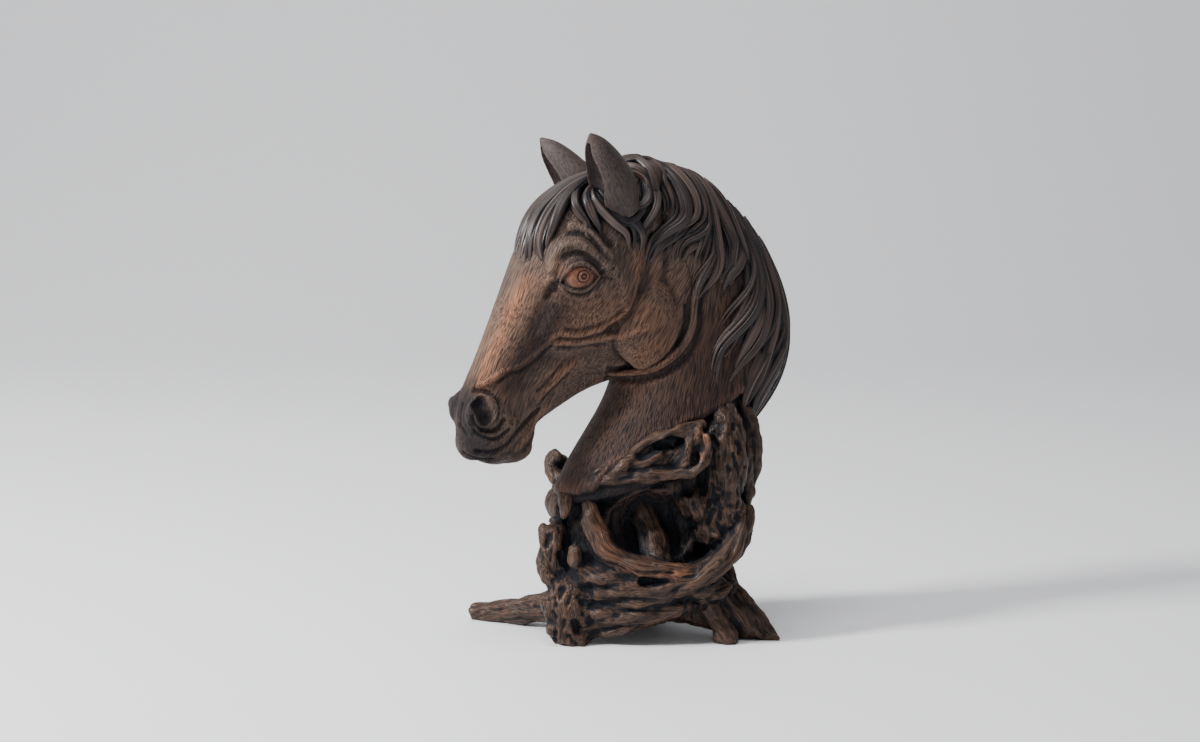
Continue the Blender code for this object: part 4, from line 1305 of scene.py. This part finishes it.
glow, warm, shade = painted(GLOW_PATHS), painted(WARM_PATHS), painted(SHADE_PATHS)
carved_at = np.array(STAND.to_translation()) / UNIT
glow = np.maximum(glow, 0.8 * nearness(spots, hem + carved_at + (0, 0, 3), 10))
mark(head, "glow", glow)
mark(head, "warm", np.clip(warm, 0, 1))
mark(head, "shade", eased(head, shade, 6))
WOOD_GLOW_PATHS = (
    (((-18, -45, 112), (-8, -60, 81), (5, -62, 67), (26, -62, 61), (51, -60, 63)), 11, 0.55),
    (((60, -54, 150), (66, -54, 160), (65, -50, 172)), 7, 0.9),
)
WOOD_WARMTH = 0.6
spots = places(wood)
wood_strokes = [(spline(path, 24) + carved_at, radius, share) for path, radius, share in WOOD_GLOW_PATHS]
wood_glow = np.max([share * nearness(spots, laid, radius) for laid, radius, share in wood_strokes], axis=0)
mark(wood, "glow", wood_glow)
mark(wood, "warm", np.full(len(spots), WOOD_WARMTH))
print("warm and rubbed places marked")

# %% [markdown]
# ## Shader maths
#
# One small class wraps a shader socket, so that a mask is written as an expression. Any other node comes
# from its one method, which sets the node up first and then fills its sockets.

# %% The class for shader maths


class Tone:
    """A socket of a material, with arithmetic."""

    def __init__(self, tree, socket=None):
        self.tree = tree
        self.socket = socket

    def node(self, kind, settings=None, sockets=None, output=0):
        """Adds a node: its settings first, then the values or links of its sockets."""
        made = self.tree.nodes.new(kind)
        for name, value in (settings or {}).items():
            setattr(made, name, value)
        for name, value in (sockets or {}).items():
            if isinstance(value, Tone):
                self.tree.links.new(value.socket, made.inputs[name])
            else:
                made.inputs[name].default_value = value
        return Tone(self.tree, made.outputs[output])

    def maths(self, operation, one, two):
        return self.node("ShaderNodeMath", {"operation": operation}, {0: one, 1: two})

    def __add__(self, other):
        return self.maths("ADD", self, other)

    def __radd__(self, other):
        return self.maths("ADD", other, self)

    def __sub__(self, other):
        return self.maths("SUBTRACT", self, other)

    def __rsub__(self, other):
        return self.maths("SUBTRACT", other, self)

    def __mul__(self, other):
        return self.maths("MULTIPLY", self, other)

    def __rmul__(self, other):
        return self.maths("MULTIPLY", other, self)

    def between(self, low, high):
        """0 at low, 1 at high, smooth between them and clamped outside."""
        sockets = {"Value": self, "From Min": low, "From Max": high}
        return self.node("ShaderNodeMapRange", {"interpolation_type": "SMOOTHSTEP"}, sockets)

    def mixed(self, colour, share):
        """This colour, changed to another by a share."""
        sockets = {0: share, 6: self, 7: colour}
        return self.node("ShaderNodeMix", {"data_type": "RGBA"}, sockets, output=2)


print("shader maths ready")

# %% [markdown]
# ## The stain
#
# One recipe makes every finish: a dark ground, streaks along the grain, lighter ridges that are partly a
# painted highlight, near-black grooves, orange where it is rubbed back, and painted shade, black in hollows
# and along the shade strokes. Coat, hair, ears, eyes and driftwood differ in their tones and in how wide the
# streaks are.

# %% The stain's recipe


def colour(red, green, blue):
    """A colour for a shader's socket."""
    return (red, green, blue, 1.0)


BLACK = colour(0.004, 0.005, 0.008)


def stain(
    name, tones, streak, run, ridge,
    rough=0.55, relief=0.5, strokes=0.7, depth=0.8, shut=0.65, gloss=0.25, patchy=1.1,
):
    """A stained wood finish, with painted shade and partly painted highlights.

    tones are its ground, warm ground, light, warm light and rubbed-back orange; streak and run the width and
    length of its streaks; ridge how far a point stands out where it is wiped quite light, partly as a painted
    highlight; strokes and depth how dark the streaks and the carved grooves are; shut how much of the view
    out of a hollow is blocked where painted shade turns it black; gloss how strongly it mirrors; patchy how
    unevenly it is wiped.
    """
    made = bpy.data.materials.new(name)
    made.use_nodes = True
    tree = made.node_tree
    shader = tree.nodes["Principled BSDF"]
    start = Tone(tree)
    ground, warm_ground, light, warm_light, orange = [colour(*tone) for tone in tones]

    def marks(mark_name, output=2):
        return start.node("ShaderNodeAttribute", {"attribute_name": mark_name}, output=output)

    def streaks(wide, long, detail):
        sockets = {0: marks("grain", 1), 1: (1 / wide, 1 / wide, 1 / long)}
        stretched = start.node("ShaderNodeVectorMath", {"operation": "MULTIPLY"}, sockets)
        noise_sockets = {"Vector": stretched, "Scale": 1.0, "Detail": detail, "Roughness": 0.55}
        return start.node("ShaderNodeTexNoise", None, noise_sockets)

    place = start.node("ShaderNodeTexCoord", output=3)
    patches = start.node("ShaderNodeTexNoise", None, {"Vector": place, "Scale": 34.0, "Detail": 4.0})
    hairs = streaks(streak, run, 1.0) * 0.6 + streaks(0.55 * streak, 0.6 * run, 0.0) * 0.4
    dark_hairs = hairs.between(0.50, 0.36)
    light_hairs = hairs.between(0.48, 0.63)
    bark = marks("bark")
    height = marks("broad") + marks("fine") * 2.5
    warm = marks("warm") + (patches - 0.5) * 1.1
    warmth = warm.between(0.2, 0.9) * (1 - bark)
    ridges = height.between(0.04, ridge)
    grooves = height.between(-0.06, -1.2 * ridge)

    blend = {"data_type": "RGBA"}
    plain = start.node("ShaderNodeMix", blend, {0: warmth, 6: ground, 7: warm_ground}, output=2)
    pale = start.node("ShaderNodeMix", blend, {0: warmth, 6: light, 7: warm_light}, output=2)
    shown = plain.mixed(pale, light_hairs * ((patches - 0.5) * patchy + 0.5))
    # Ridges wiped lighter: rubbed-back stain, and partly a painted highlight where the ridges catch the
    # light.
    shown = shown.mixed(pale, ridges * (light_hairs * 0.45 + 0.35))
    shown = shown.mixed(orange, marks("glow") * (light_hairs * 0.55 + 0.35) * (patches * 1.4 + 0.1))
    shown = shown.mixed(BLACK, dark_hairs * strokes)
    shown = shown.mixed(BLACK, grooves * depth)
    # The shade mark: a darker tone on the muzzle, round the eyes and on some strands of hair, and painted
    # shade on the neck, the side of the nose, the brow and the temple.
    shown = shown.mixed(BLACK, marks("shade").between(0, 1) * 0.78)
    shown = shown.mixed(BLACK, bark * 0.55)
    # Painted shade: black where much of the view out of a point is blocked, in hollows and in the gaps
    # between pieces.
    shown = shown.mixed(BLACK, marks("hollow").between(shut - 0.42, shut) * 0.94)
    tree.links.new(shown.socket, shader.inputs["Base Color"])
    roughness = grooves * 0.25 + rough - ridges * 0.12
    tree.links.new(roughness.socket, shader.inputs["Roughness"])
    bump = start.node("ShaderNodeBump", None, {"Height": hairs, "Strength": relief, "Distance": 0.0016})
    tree.links.new(bump.socket, shader.inputs["Normal"])
    shader.inputs["Specular IOR Level"].default_value = gloss
    return made


# %% Finishes
# Each set of tones: ground, warm ground, light, warm light and rubbed-back orange; the light tones also give
# the ridges their partly painted highlight.
COAT_TONES = (
    (0.072, 0.048, 0.038), (0.108, 0.062, 0.043), (0.148, 0.102, 0.078), (0.200, 0.116, 0.078),
    (0.38, 0.145, 0.070),
)
HAIR_TONES = (
    (0.026, 0.018, 0.016), (0.034, 0.021, 0.018), (0.115, 0.082, 0.070), (0.130, 0.084, 0.068),
    (0.26, 0.11, 0.06),
)
EAR_TONES = (
    (0.044, 0.033, 0.031), (0.048, 0.034, 0.030), (0.085, 0.064, 0.057), (0.092, 0.064, 0.054),
    (0.2, 0.1, 0.07),
)
EYE_TONES = (
    (0.110, 0.045, 0.028), (0.120, 0.047, 0.028), (0.200, 0.086, 0.052), (0.210, 0.086, 0.052),
    (0.36, 0.13, 0.058),
)
WOOD_TONES = (
    (0.019, 0.012, 0.010), (0.034, 0.019, 0.013), (0.070, 0.043, 0.030), (0.098, 0.052, 0.033),
    (0.28, 0.115, 0.056),
)
coat_stain = stain(
    "coat_stain", COAT_TONES, 1.0, 18.0, 1.1,
    rough=0.6, relief=0.85, strokes=0.66, depth=0.6, shut=0.74, gloss=0.12,
)
hair_stain = stain(
    "hair_stain", HAIR_TONES, 1.1, 60.0, 1.2,
    rough=0.46, relief=0.3, strokes=0.5, depth=0.92, shut=0.80, patchy=0.2,
)
ear_stain = stain(
    "ear_stain", EAR_TONES, 1.0, 14.0, 0.8,
    relief=0.4, strokes=0.4, shut=0.8, gloss=0.15,
)
eye_stain = stain(
    "eye_stain", EYE_TONES, 2.4, 4.0, 0.3,
    rough=0.4, relief=0.05, strokes=0.1, depth=0.9, shut=0.9,
)
wood_stain = stain(
    "driftwood_stain", WOOD_TONES, 1.2, 30.0, 0.9,
    rough=0.5, relief=0.7, strokes=0.66, depth=0.92, shut=0.52, gloss=0.18,
)
UNMARKED = {"glow": 0.0, "warm": 0.35, "bark": 0.0, "shade": 0.0}
finishes = {head: coat_stain, wood: wood_stain}
for pieces, finish in ((hair, hair_stain), (ears, ear_stain), (eyes, eye_stain)):
    finishes.update({one: finish for one in pieces})
for one, finish in finishes.items():
    one.data.materials.clear()
    one.data.materials.append(finish)
    if "grain" not in one.data.attributes:
        mark(one, "grain", places(one))
    for name, value in UNMARKED.items():
        if name not in one.data.attributes:
            mark(one, name, np.full(len(one.data.vertices), value))
print("finishes:", {one.name: finish.name for one, finish in finishes.items()})

# %% [markdown]
# ## Hand-over
#
# Every piece rides on the frame's one body and stands for its one solid.

# %% Ride, stand for the solid, and measure
for one in everything:
    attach(one, "root")
    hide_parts(SOLID)
triangles = {one.name: sum(len(p.vertices) - 2 for p in one.data.polygons) for one in everything}
print("triangles:", triangles, "in all", sum(triangles.values()))
